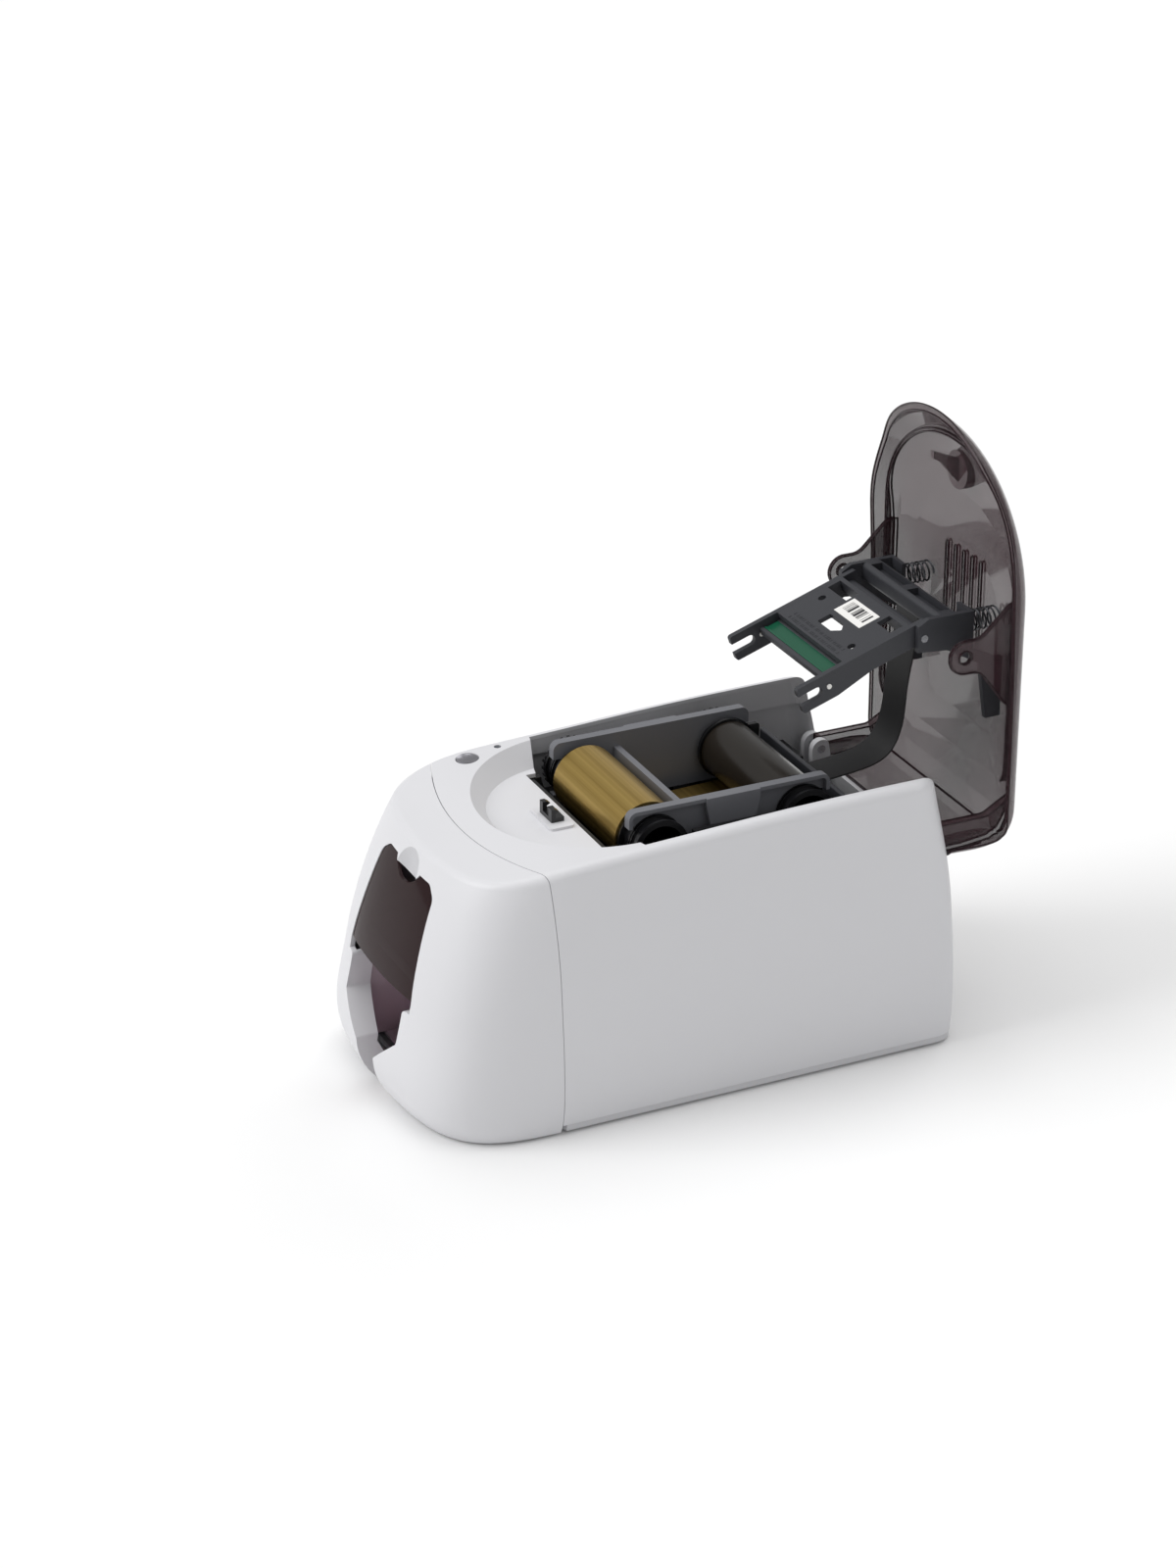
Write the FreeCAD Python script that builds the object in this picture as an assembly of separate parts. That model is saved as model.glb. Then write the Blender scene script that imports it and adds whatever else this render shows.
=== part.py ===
import FreeCAD, Part
import math
import os

V = FreeCAD.Vector

# Driving dimensions of the whole printer, in millimetres
body_length = 381.0
body_width = 208.0
body_height = 191.0
body_wall = 2.8
overrun = 40.0
fit_gap = 0.4
seat_gap = 0.3
running_gap = 0.05
circle_share = 0.5523

# Outer form of the body: height, front, half width and rear, as shares of height, length and width
body_level_shares = [
    (0.010, -0.467, 0.488, 0.500),
    (0.073, -0.489, 0.497, 0.500),
    (0.147, -0.500, 0.500, 0.500),
    (0.288, -0.494, 0.499, 0.499),
    (0.471, -0.475, 0.493, 0.494),
    (0.628, -0.453, 0.486, 0.487),
    (0.764, -0.428, 0.475, 0.477),
    (0.890, -0.397, 0.465, 0.465),
    (1.080, -0.336, 0.454, 0.449),
]
front_round_share = 0.21
front_side_pull_share = 0.75
front_flat_share = 0.85
body_corner = 16.0

# Top edge of the body seen from the side: place along the length and height, as shares
top_line_shares = [
    (-0.600, 0.805),
    (-0.430, 0.885),
    (-0.320, 0.925),
    (-0.262, 0.947),
    (-0.168, 0.964),
    (-0.026, 0.977),
    (0.118, 0.991),
    (0.265, 1.000),
    (0.600, 1.000),
]
top_round = 7.0

# Seam between front cover and housing, an arc seen from above
seam_radius = 225.0
seam_front = 122.0
seam_gap = 0.5

# Base plate and feet
foot_height = 2.0
foot_radius = 7.0
foot_inset_x = 22.0
foot_inset_rear = 24.0
foot_inset_front = 62.0
base_top = 6.5
base_rib_height = 5.0
base_rib_width = 2.0
base_rib_count = 7

# Deck: the bowl in front of the bay, its latch pad, button and lamp
bowl_floor = body_height - 19.5
bowl_rim_height = body_height - 1.0
bowl_floor_half = 70.0
bowl_floor_front = 97.0
bowl_rim_half = 88.0
bowl_rim_front = 117.0
bowl_back = 20.0
bowl_side_start = 32.0
bowl_corner = 4.0
bay_front = 48.0
bay_front_half = 62.5
bay_neck_back = 41.0
bay_wide_front = 34.0
bay_half = 88.0
rear_wall_top = 130.0
rim_inset = 7.5
pad_width = 34.0
pad_length = 17.0
pad_height = 1.8
pad_front = 68.0
pad_x = 4.0
pad_round = 2.5
button_x = 24.0 - body_width / 2
button_y = -82.0
button_radius = 7.5
button_top = body_height - 8.0
button_height = 5.0
button_seat = body_height - 14.4
button_well_bottom = body_height - 17.4
button_dish_depth = 1.2
button_dish_radius = 26.0
button_stem_radius = 2.6
button_stem_length = 14.0
button_gap = 0.35
lamp_x = 18.5 - body_width / 2
lamp_y = -58.0
lamp_radius = 2.4

# Front card hopper: the window opening, the slot under it and the finger scoop
window_half_bottom = 50.0
window_half_top = 41.0
window_bottom = 88.0
window_corner_height = body_height - 39.0
window_top = body_height - 32.5
window_top_half = 32.0
window_corner = 8.0
window_wall = 2.2
window_recess = 0.7
slot_half = 42.0
slot_top = 80.0
slot_taper_start = 56.0
slot_neck_half = 14.0
slot_neck_top = 33.0
slot_corner = 3.0
scoop_radius = 18.0
scoop_height = body_height - 32.0
scoop_ball_proud = 11.35
scoop_backing = 11.0
scoop_notch = 21.0
scoop_notch_height = body_height - 21.5
hopper_depth_back = body_length / 2 - 62.5
hopper_lip_depth = 14.0
door_pivot_depth = 10.0
door_pivot_z = 95.0
door_pin_radius = 1.6
door_ear_half = 46.0
door_ear_width = 1.5
door_ear_radius = 3.6
door_boss_radius = 4.2
door_boss_near = 50.6
door_boss_far = 54.2

# Card well behind the window, its cards and the base plate's front edge
chute_half = 45.6
chute_wall = 1.8
chute_back = body_length / 2 - 74.0
chute_bottom = 14.0
chute_shelf = 92.0
chute_shelf_front = body_length / 2 - 25.5
chute_cheek_front = body_length / 2 - 21.5
chute_cheek_top = body_length / 2 - 41.5
chute_foot_front = body_length / 2 - 31.5
chute_top = body_height - 33.0
chute_window_half = 16.0
chute_window_low = 112.0
chute_window_high = body_height - 41.0
card_long = 85.6
card_short = 54.0
card_thick = 0.76
card_corner = 3.2
card_play = 1.2
card_foot_y = 45.5 - body_length / 2
card_exit_low = 79.0
card_exit_high = 87.0
blank_card_count = 12
base_front = body_length / 2 - 32.5
base_rib_front = -88.0
base_rib_pitch = 38.0
base_rib_half = 88.0
door_ear_reach = 7.0
door_ear_rise = 7.0
lamp_bottom = body_height - 21.0
lamp_top = body_height - 6.4
lamp_dome = 6.0
lamp_proud = 0.0
catch_y = -64.0
catch_nose = 2.4

# Lid, drawn closed and turned open about its hinge for export
hinge_y = body_length / 2 - 14.5
hinge_z = 143.0
open_angle = 90.0
lid_half = 95.5
lid_wall = 2.4
lid_tip = 91.0
lid_round_start = 2.0
lid_rear = body_length / 2 - 0.5
lid_skirt_front = body_length / 2 - 7.5
lid_rear_bottom = 151.5
lid_corner = 16.0
# Height, then how far sides, tip and rear draw in, as shares of lid_half, lid_half and body_length
lid_level_shares = [
    (0.750, 0.000, 0.000, 0.000),
    (0.885, 0.002, 0.010, 0.001),
    (0.985, 0.012, 0.105, 0.006),
    (1.030, 0.045, 0.210, 0.016),
    (1.065, 0.130, 0.400, 0.040),
    (1.090, 0.290, 0.680, 0.085),
    (1.104, 0.520, 1.050, 0.150),
]
# Underside of the lid's rim from the side: place along the length and height, as shares
lid_edge_shares = [
    (-0.600, 0.951),
    (-0.225, 0.951),
    (-0.170, 0.958),
    (-0.110, 0.981),
    (-0.026, 0.987),
    (0.118, 0.998),
    (0.265, 1.006),
    (0.600, 1.006),
]
skirt_half = 84.0
skirt_tip = 66.0
skirt_wall = 2.0
skirt_bottom = body_height + 3.5
skirt_rear = 150.0
ear_x = 80.5
ear_wall = 2.4
ear_eye_y = 52.0
ear_eye_z = body_height - 29.0
ear_eye_radius = 11.0
ear_eye_bore = 4.6
ear_front = 20.0
ear_rear = 92.0
ear_root_bend = 12.0
hinge_arm_x = 75.1
hinge_arm_wall = 5.8
hinge_eye_radius = 7.0
hinge_arm_root = 34.0
hinge_pin_radius = 3.0
hinge_lug_wall = 5.0
hinge_lug_inner = 69.4
hinge_lug_outer = 81.6
hinge_bore_end = 87.2
lug_foot_drop = 24.0
overlap = 0.01
vent_count = 5
vent_pitch = 10.8
vent_width = 3.2
vent_length = 66.0
vent_middle_x = -3.0
vent_middle_y = 50.0
hook_x = 4.0
hook_y = -44.0
hook_disc_radius = 13.0
hook_disc_bore = 10.5
hook_disc_bottom = body_height + 5.0
hook_web = 2.0
hook_bottom = body_height - 14.0
hook_wall = 4.0
hook_root = 16.0
hook_tip = 5.0
catch_width = 18.0
catch_height = 9.0
catch_wall = 3.0
catch_gap = 4.4
catch_length = 9.0

# Ribbon cartridge, seated in the bay
spool_z = 170.0
supply_y = -13.0
spool_pitch = 105.0
core_radius = 17.5
core_bore = 15.0
core_half = 68.5
collar_radius = 19.0
collar_start = 66.6
flange_radius = 21.0
flange_width = 2.6
roll_radius = 22.5
roll_half = 47.0
takeup_roll_radius = 19.4
core_ring_x = 57.6
core_ring_count = 2
core_ring_pitch = 2.2
core_ring_width = 1.0
core_ring_height = 1.3
tooth_ring_start = 68.5
tooth_ring_width = 4.0
tooth_root = 17.8
tooth_count = 24
tooth_height = 1.4
tooth_width = 1.8
plate_inner = 54.0
plate_wall = 2.5
rail_outer = 60.5
plate_half_height = 24.0
plate_end_reach = 19.0
rail_wall = 2.6
cradle_gap = 0.6
hook_lip = 5.4
tab_y = 41.0
tab_top_half = 19.0
tab_bottom_half = 8.0
tab_bottom = 138.0
tab_outer = 61.9
foot_eye_y = 22.0
foot_eye_radius = 9.0
cross_bar_y = 11.6
cross_bar_thick = 4.4
cross_bar_top = 184.0
cross_bar_bottom = 158.0
film_half = 43.0
film_wall = 0.4
film_gap = 0.1

# Print head carrier: along its length from the pivot, across, and up from the pivot plane
pivot_y = 47.0
pivot_z = 148.0
carrier_angle = 71.0
carrier_length = 92.0
carrier_half = 48.5
carrier_arm_wall = 4.0
carrier_face = 9.35
carrier_plate_wall = 3.2
carrier_plate_start = 4.0
carrier_plate_end = 55.0
carrier_arm_bottom = -5.0
carrier_rear_radius = 7.0
fork_slot_half = 3.75
fork_slot_start = 75.25
fork_widen_start = 66.0
platen_reach = 79.0
pivot_pin_radius = 2.5
pivot_bar_radius = 4.2
keyhole_half = 12.0
keyhole_near = 32.0
keyhole_far = 42.0
keyhole_point = 6.0
corner_window_inner = 24.0
corner_window_outer = 42.0
corner_window_start = 7.0
corner_window_end = 17.0
dowel_bore = 2.8
dowel_bore_reach = 26.0
dowel_bore_x = 34.0
label_x0 = -14.0
label_x1 = 20.0
label_start = 12.0
label_end = 28.0
label_wall = 0.3
head_half = 43.0
head_start = 57.0
head_end = 67.4
head_bottom = 1.2
head_wall = 3.0
nose_end = 70.4
nose_top = 5.0
backing_start = 44.0
backing_rib_top = 4.0
fork_pin_reach = 70.0
fork_pin_radius = 1.7
pin_proud = 0.6
post_inner = 49.4
post_outer = 53.4
beam_front = 34.0
beam_rear = 47.0
beam_bottom = 158.5
beam_top = 174.0
beam_pocket_half = 20.0
beam_pocket_depth = 5.0
beam_pocket_margin = 3.5
beam_pocket_x = 24.0
post_shoulder = 184.0
post_neck_y = 60.0
post_back_y = 70.0
post_back_z = 203.0
post_far_y = 112.0
post_far_z = 196.0
post_knee_y = 72.0
post_knee_z = 190.0
post_heel_y = 58.0
post_heel_z = 165.0
post_toe_y = 56.0
carrier_wall_round = 2.0
spring_wire_radius = 0.7
spring_radius = 6.6
spring_turns = 6
spring_wire_sides = 6
spring_x = 43.0
spring_y = 45.0
spring_ledge_wall = 3.0

# Platen, feed rollers and the card path
platen_radius = 8.0
platen_half = 43.8
platen_shaft_radius = 3.4
roller_radius = 6.0
roller_half = 27.0
roller_shaft_radius = 2.5
card_plane = 82.5
feed_front_y = -26.0
feed_rear_y = 112.0
pinch_gap = 1.0
guide_wall = 1.6
guide_half = 43.0
guide_rise = 2.4
guide_step = 3.0
guide_front = -42.0
guide_rear = 121.0

# Chassis round the bay
chassis_inner = 62.5
chassis_wall = 3.5
chassis_front = -46.0
chassis_rear = 124.0
chassis_bottom = 11.9
chassis_top = 176.0
chassis_step_y = -33.2
chassis_step_z = 168.0
chassis_floor = 34.0
spool_pass = 24.0
rest_wall = 8.0
rest_length = 12.0
window_low_z = 98.0
window_high_z = 138.0
window_margin = 14.0
shelf_z = 140.0
shelf_wall = 2.4
shelf_rear = 160.0
rear_plate_half = 62.0
rear_plate_wall = 3.0
rear_plate_top = 172.0
rear_plate_foot = 134.0
rear_plate_reach = 26.0

# Drives and electronics
motor_radius = 16.0
motor_length = 30.0
motor_gap = 0.6
motor_shaft_radius = 2.0
motor_boss_radius = 5.0
motor_shaft_depth = 8.0
feed_motor_y = -8.0
feed_motor_z = 56.0
belt_near = 68.4
belt_width = 5.0
pulley_radius = 8.0
pulley_flange = 1.4
belt_wall = 1.2
drive_gear_radius = 16.2
drive_gear_z = 134.2
ribbon_motor_radius = 11.0
board_half = 58.0
board_front = -38.0
board_rear = body_length / 2 - 6.5
board_bottom = 11.9
board_wall = 1.6
port_rear = body_length / 2 - 0.9
usb_x = -34.0
usb_half = 6.0
usb_height = 10.8
usb_depth = 16.0
inlet_x = 20.0
inlet_half = 5.5
inlet_height = 11.0
inlet_depth = 14.0
inlet_bore = 3.2
port_gap = 0.4
screw_head_radius = 3.0
screw_head_height = 1.8
screw_top_share = 0.75
screw_cross_share = 0.6
screw_cross_width = 0.8
screw_cross_depth = 1.0
floor_screw_x = 48.0
floor_screw_inset = 12.0
usb_corner = 1.0
usb_wall = 0.8
board_can_radius = 4.0
board_can_height = 11.0
# Blocks on the board: middle, half sizes and height; cans: middle
board_blocks = [
    (-20.0, 10.0, 12.0, 12.0, 2.2),
    (18.0, 30.0, 8.0, 8.0, 1.8),
    (-22.0, 60.0, 7.0, 4.0, 1.8),
    (30.0, -10.0, 10.0, 5.0, 8.0),
    (-44.0, 100.0, 4.0, 14.0, 8.0),
    (40.0, 100.0, 4.0, 14.0, 8.0),
]
board_cans = [(8.0, 148.0), (20.0, 148.0), (32.0, 148.0)]

# Head cable, seen from the side with the lid open
cable_half = 14.0
cable_wall = 1.2
cable_route = [
    (199.0, 271.2),
    (197.0, 247.0),
    (192.5, 220.0),
    (190.0, 195.0),
    (180.0, 174.0),
    (158.0, 166.5),
    (134.2, 164.1),
]


def point(plane, u, v, w):
    """Space point of outline coordinates u, v on a plane at offset w."""
    if plane == "yz":
        return V(w, u, v)
    if plane == "xz":
        return V(u, w, v)
    return V(u, v, w)


def direction(plane):
    """Direction that an outline on this plane is extruded along."""
    return point(plane, 0, 0, 1)


def outline(corners, plane, w):
    """Closed wire through (u, v, radius) corners, each rounded by an arc of its radius."""
    ends = []
    count = len(corners)
    for i in range(count):
        u, v, radius = corners[i]
        here = V(u, v, 0)
        if radius == 0:
            ends.append((here, None, here))
            continue
        back = V(corners[i - 1][0], corners[i - 1][1], 0).sub(here).normalize()
        ahead = V(corners[(i + 1) % count][0], corners[(i + 1) % count][1], 0).sub(here).normalize()
        half = back.getAngle(ahead) / 2
        run = radius / math.tan(half)
        inward = back.add(ahead).normalize()
        middle = here.add(inward * (radius / math.sin(half) - radius))
        ends.append((here.add(back * run), middle, here.add(ahead * run)))
    edges = []
    for i in range(count):
        first, middle, last = ends[i]
        after = ends[(i + 1) % count][0]
        a = point(plane, first.x, first.y, w)
        c = point(plane, last.x, last.y, w)
        d = point(plane, after.x, after.y, w)
        if middle is not None:
            b = point(plane, middle.x, middle.y, w)
            edges.append(Part.Arc(a, b, c).toShape())
        if not c.isEqual(d, Part.Precision.confusion()):
            edges.append(Part.LineSegment(c, d).toShape())
    return Part.Wire(edges)


def plate(corners, plane, low, high):
    """Solid of a rounded outline between two offsets of its plane."""
    face = Part.Face(outline(corners, plane, low))
    return face.extrude(direction(plane) * (high - low))


def rectangle(u0, u1, v0, v1, radius=0):
    """Corners of a rectangle with one corner radius."""
    return [(u0, v0, radius), (u1, v0, radius), (u1, v1, radius), (u0, v1, radius)]


def box(x0, x1, y0, y1, z0, z1, radius=0, plane="xy"):
    """Block between two corners, with the edges along one axis rounded."""
    if plane == "yz":
        return plate(rectangle(y0, y1, z0, z1, radius), plane, x0, x1)
    if plane == "xz":
        return plate(rectangle(x0, x1, z0, z1, radius), plane, y0, y1)
    return plate(rectangle(x0, x1, y0, y1, radius), plane, z0, z1)


def rod(plane, u, v, radius, low, high):
    """Cylinder square to a plane, at outline coordinates u, v."""
    return Part.makeCylinder(radius, high - low, point(plane, u, v, low), direction(plane))


def ring(plane, u, v, outer, inner, low, high):
    """Tube square to a plane."""
    return rod(plane, u, v, outer, low, high).cut(rod(plane, u, v, inner, low - outer, high + outer))


def joined(shapes):
    """One solid of several that meet."""
    whole = shapes[0].multiFuse(shapes[1:])
    return whole.removeSplitter()


def group(shapes):
    """Several separate solids kept as one node."""
    return Part.makeCompound(shapes)


def mirrored(shape):
    """The same piece on the other side of the middle plane."""
    return shape.mirror(V(0, 0, 0), V(1, 0, 0))


def spline_line(shares, length, height, drop):
    """Smooth side line from shares of a length and a height, lowered by drop."""
    places = [V(0, y * length, z * height - drop) for y, z in shares]
    curve = Part.BSplineCurve()
    curve.interpolate(places)
    return curve


def above_line(shares, length, height, drop, half):
    """Everything over a smooth side line, across the full width."""
    curve = spline_line(shares, length, height, drop)
    start = curve.StartPoint
    end = curve.EndPoint
    top = height + overrun
    edges = [
        curve.toShape(),
        Part.LineSegment(end, V(0, end.y, top)).toShape(),
        Part.LineSegment(V(0, end.y, top), V(0, start.y, top)).toShape(),
        Part.LineSegment(V(0, start.y, top), start).toShape(),
    ]
    face = Part.Face(Part.Wire(edges))
    face.translate(V(-half, 0, 0))
    return face.extrude(V(half * 2, 0, 0))


def bezier(poles):
    """Edge of one Bezier curve."""
    curve = Part.BezierCurve()
    curve.setPoles(poles)
    return curve.toShape()


def bow_outline(half, front, depth, pull, flat, rear, corner, z):
    """Level outline with a bowed front, straight sides and a rear with rounded corners."""
    turn = front + depth
    soft = corner * (1 - circle_share)
    side = rear - corner
    inner = half - corner
    bend = turn - depth * pull
    right = bezier([V(0, front, z), V(half * flat, front, z), V(half, bend, z), V(half, turn, z)])
    left = bezier([V(-half, turn, z), V(-half, bend, z), V(-half * flat, front, z), V(0, front, z)])
    edges = [
        right,
        Part.LineSegment(V(half, turn, z), V(half, side, z)).toShape(),
        bezier([V(half, side, z), V(half, rear - soft, z), V(half - soft, rear, z), V(inner, rear, z)]),
        Part.LineSegment(V(inner, rear, z), V(-inner, rear, z)).toShape(),
        bezier([V(-inner, rear, z), V(soft - half, rear, z), V(-half, rear - soft, z), V(-half, side, z)]),
        Part.LineSegment(V(-half, side, z), V(-half, turn, z)).toShape(),
        left,
    ]
    return Part.Wire(edges)


def body_form(inset, levels=body_level_shares, ruled=False):
    """Leaning outer form of the body, drawn in by an inset on every side."""
    wires = []
    for height, front, half, rear in levels:
        wires.append(bow_outline(
            half * body_width - inset,
            front * body_length + inset,
            front_round_share * body_length,
            front_side_pull_share,
            front_flat_share,
            rear * body_length - inset,
            body_corner - inset,
            height * body_height,
        ))
    return Part.makeLoft(wires, True, ruled)


def front_line(z):
    """Distance of the body's front from the middle at a height."""
    share = z / body_height
    for low, high in zip(body_level_shares, body_level_shares[1:]):
        if share <= high[0]:
            break
    part = (share - low[0]) / (high[0] - low[0])
    return -body_length * (low[1] + part * (high[1] - low[1]))


door_pivot_y = door_pivot_depth - front_line(door_pivot_z)
scoop_ball_y = -scoop_ball_proud - front_line(scoop_height)


def above_body(drop):
    """Everything over the top of the body, lowered by drop."""
    return above_line(top_line_shares, body_length, body_height, drop, body_width)


def inner_form(inset):
    """Plainer form for the inside of the walls."""
    return body_form(inset, body_level_shares[::2], True)


def outer_solid():
    """Body form closed on top by its top line, with a soft upper edge."""
    solid = body_form(0).cut(above_body(0))
    low = body_height * body_level_shares[6][0]
    edges = [edge for edge in solid.Edges if edge.BoundBox.ZMin > low]
    return solid.makeFillet(top_round, edges)


outer_body = outer_solid()
inner_body = inner_form(body_wall).cut(above_body(body_wall))
body_shell = outer_body.cut(inner_body)


def seam_drum(radius):
    """Upright drum behind the seam."""
    return rod("xy", 0, seam_radius - seam_front, radius, -overrun, body_height + overrun)


def bowl(grow):
    """Bowl in the deck, widened and deepened by grow."""
    wires = []
    floor = bowl_floor - grow
    for z, half, front in (
        (floor, bowl_floor_half, bowl_floor_front),
        (bowl_rim_height, bowl_rim_half, bowl_rim_front),
    ):
        depth = front - bowl_side_start + grow
        wires.append(bow_outline(
            half + grow, -front - grow, depth, circle_share, circle_share,
            -bowl_back, bowl_corner, z,
        ))
    return Part.makeLoft(wires, True, True)


def bay_opening():
    """Opening in the top: a neck at the deck, then the full width between the side walls."""
    return plate([
        (-bay_front_half, -bay_front, 0),
        (bay_front_half, -bay_front, 0),
        (bay_front_half, -bay_neck_back, 0),
        (bay_half, -bay_wide_front, 0),
        (bay_half, body_length, 0),
        (-bay_half, body_length, 0),
        (-bay_half, -bay_wide_front, 0),
        (-bay_front_half, -bay_neck_back, 0),
    ], "xy", rear_wall_top, body_height + overrun)


def window_outline(gap):
    """Outline of the hopper window seen from the front, shrunk by a gap."""
    bottom = window_half_bottom - gap
    top = window_half_top - gap
    return [
        (-bottom, window_bottom + gap, 0),
        (bottom, window_bottom + gap, 0),
        (top, window_corner_height - gap, window_corner),
        (window_top_half, window_top - gap, window_corner),
        (-window_top_half, window_top - gap, window_corner),
        (-top, window_corner_height - gap, window_corner),
    ]


def slot_outline():
    """Funnel slot under the window, open at the foot."""
    return [
        (-window_half_bottom, window_bottom + fit_gap, 0),
        (-window_half_bottom, slot_top, 0),
        (-slot_half, slot_top, slot_corner),
        (-slot_half, slot_taper_start, slot_corner),
        (-slot_neck_half, slot_neck_top, slot_corner),
        (-slot_neck_half, -overrun, 0),
        (slot_neck_half, -overrun, 0),
        (slot_neck_half, slot_neck_top, slot_corner),
        (slot_half, slot_taper_start, slot_corner),
        (slot_half, slot_top, slot_corner),
        (window_half_bottom, slot_top, 0),
        (window_half_bottom, window_bottom + fit_gap, 0),
    ]


def front_only(shape):
    """The part of a shape that lies in front of the seam."""
    return shape.cut(seam_drum(seam_radius + seam_gap))


def front_cover():
    """White front cover with the window opening, the funnel slot and the finger scoop."""
    shell = front_only(body_shell.copy())
    scoop_stock = rod("xz", 0, scoop_height, scoop_radius + body_wall, -body_length, -seam_front)
    backing = outer_body.copy().cut(inner_form(scoop_backing)).common(scoop_stock)
    lips = outer_body.copy().cut(inner_form(hopper_lip_depth))
    frame = plate([
        (-slot_half - body_wall, -overrun, 0),
        (slot_half + body_wall, -overrun, 0),
        (slot_half + body_wall, slot_top, 0),
        (-slot_half - body_wall, slot_top, 0),
    ], "xz", -body_length, -hopper_depth_back)
    lips = lips.common(frame)
    cover = shell.fuse([backing, lips])
    cover = cover.cut(plate(slot_outline(), "xz", -body_length, -hopper_depth_back))
    window = plate(window_outline(0), "xz", -body_length, -hopper_depth_back)
    notch = rod("xz", 0, scoop_notch_height, scoop_notch, -body_length, -hopper_depth_back)
    cover = cover.cut(window.cut(notch))
    ball = Part.makeSphere(scoop_radius, V(0, scoop_ball_y, scoop_height))
    cover = cover.cut(ball)
    below = box(-body_width, body_width, -body_length, body_length, -overrun, base_top + fit_gap)
    rear_part = seam_drum(seam_radius - body_wall)
    boss = rod("yz", door_pivot_y, door_pivot_z, door_boss_radius, door_boss_near, door_boss_far)
    bosses = boss.fuse(mirrored(boss))
    cover = cover.fuse(bosses)
    bore = rod("yz", door_pivot_y, door_pivot_z, door_pin_radius + running_gap, -body_width, body_width)
    cover = cover.cut(bore.common(box(-door_boss_far, door_boss_far, -body_length, 0, 0, body_height)))
    return cover.cut(below.common(rear_part)).removeSplitter()


def base_outline(inset):
    """Foot outline of the body, drawn in by an inset."""
    height, front, half, rear = body_level_shares[0]
    return bow_outline(
        half * body_width - inset,
        front * body_length + inset,
        front_round_share * body_length,
        front_side_pull_share,
        front_flat_share,
        rear * body_length - inset,
        body_corner - inset,
        foot_height,
    )


def main_housing():
    """White housing: side walls, deck with its bowl, rim round the bay, low rear wall."""
    drum = seam_drum(seam_radius)
    under_top = above_body(0)
    shell = body_shell.copy().common(drum)
    dish = bowl(body_wall).cut(under_top).common(drum).common(outer_body)
    rim = outer_body.cut(inner_form(rim_inset)).cut(box(
        -body_width, body_width, -body_length, body_length, 0, bowl_floor))
    rim = rim.common(box(-body_width, body_width, -bay_front, body_length, 0, body_height))
    housing = shell.fuse([dish, rim])
    housing = housing.cut(bowl(0))
    housing = housing.cut(bay_opening())
    pad = plate(rectangle(
        pad_x - pad_width / 2, pad_x + pad_width / 2, -pad_front, pad_length - pad_front, pad_round,
    ), "xy", bowl_floor - body_wall, bowl_floor + pad_height)
    housing = housing.fuse(pad)
    button_well = rod("xy", button_x, button_y, button_radius + body_wall, button_well_bottom, button_top)
    housing = housing.fuse(button_well.common(outer_body))
    housing = housing.cut(rod(
        "xy", button_x, button_y, button_radius + button_gap, button_seat, body_height))
    housing = housing.cut(rod(
        "xy", button_x, button_y, button_stem_radius + button_gap, 0, body_height))
    housing = housing.cut(rod("xy", lamp_x, lamp_y, lamp_radius + running_gap, 0, body_height))
    below = box(-body_width, body_width, -body_length, body_length, -overrun, base_top + fit_gap)
    housing = housing.cut(below)
    port_low = board_bottom + board_wall - port_gap
    for x, half, height in ((usb_x, usb_half, usb_height), (inlet_x, inlet_half, inlet_height)):
        housing = housing.cut(box(
            x - half - port_gap, x + half + port_gap, board_rear, body_length,
            port_low, board_bottom + board_wall + height + port_gap, port_gap, "xz"))
    for side in (-1, 1):
        for wall in (hinge_lug_inner, hinge_lug_outer):
            low = min(side * wall, side * (wall + hinge_lug_wall))
            housing = housing.fuse(hinge_lug(low))
    bore = rod("yz", hinge_y, hinge_z, hinge_pin_radius + running_gap, -hinge_bore_end, hinge_bore_end)
    return housing.cut(bore).removeSplitter()


def hinge_lug(low):
    """Lug that stands inside the rear wall and holds the hinge pin."""
    back = hinge_y + hinge_eye_radius
    wall = body_length / 2
    lug = plate([
        (hinge_y - hinge_eye_radius, hinge_z + hinge_eye_radius, hinge_eye_radius - overlap),
        (hinge_y - hinge_eye_radius, hinge_z - lug_foot_drop, 0),
        (wall, hinge_z - lug_foot_drop, 0),
        (wall, rear_wall_top, 0),
        (back, rear_wall_top, 0),
        (back, hinge_z + hinge_eye_radius, hinge_eye_radius - overlap),
    ], "yz", low, low + hinge_lug_wall)
    return lug.common(outer_body.copy())


def base_plate():
    """Bottom tray with a thin floor, an upstanding edge and stiffening ribs."""
    drum = seam_drum(seam_radius - body_wall - fit_gap)
    full = Part.Face(base_outline(0)).extrude(V(0, 0, base_top - foot_height))
    front = Part.Face(base_outline(body_wall + fit_gap)).extrude(V(0, 0, base_top - foot_height))
    front = front.cut(plate(rectangle(
        -slot_half - body_wall - fit_gap, slot_half + body_wall + fit_gap, -body_length, -base_front,
    ), "xy", 0, body_height))
    floor = full.common(drum).fuse(front.common(box(
        -body_width, body_width, -base_front, 0, 0, body_height)))
    ribs = []
    for i in range(base_rib_count):
        y = base_rib_front + i * base_rib_pitch
        ribs.append(box(
            -base_rib_half, base_rib_half, y, y + base_rib_width, base_top - overlap, base_top + base_rib_height))
    return joined([floor] + ribs)


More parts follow.
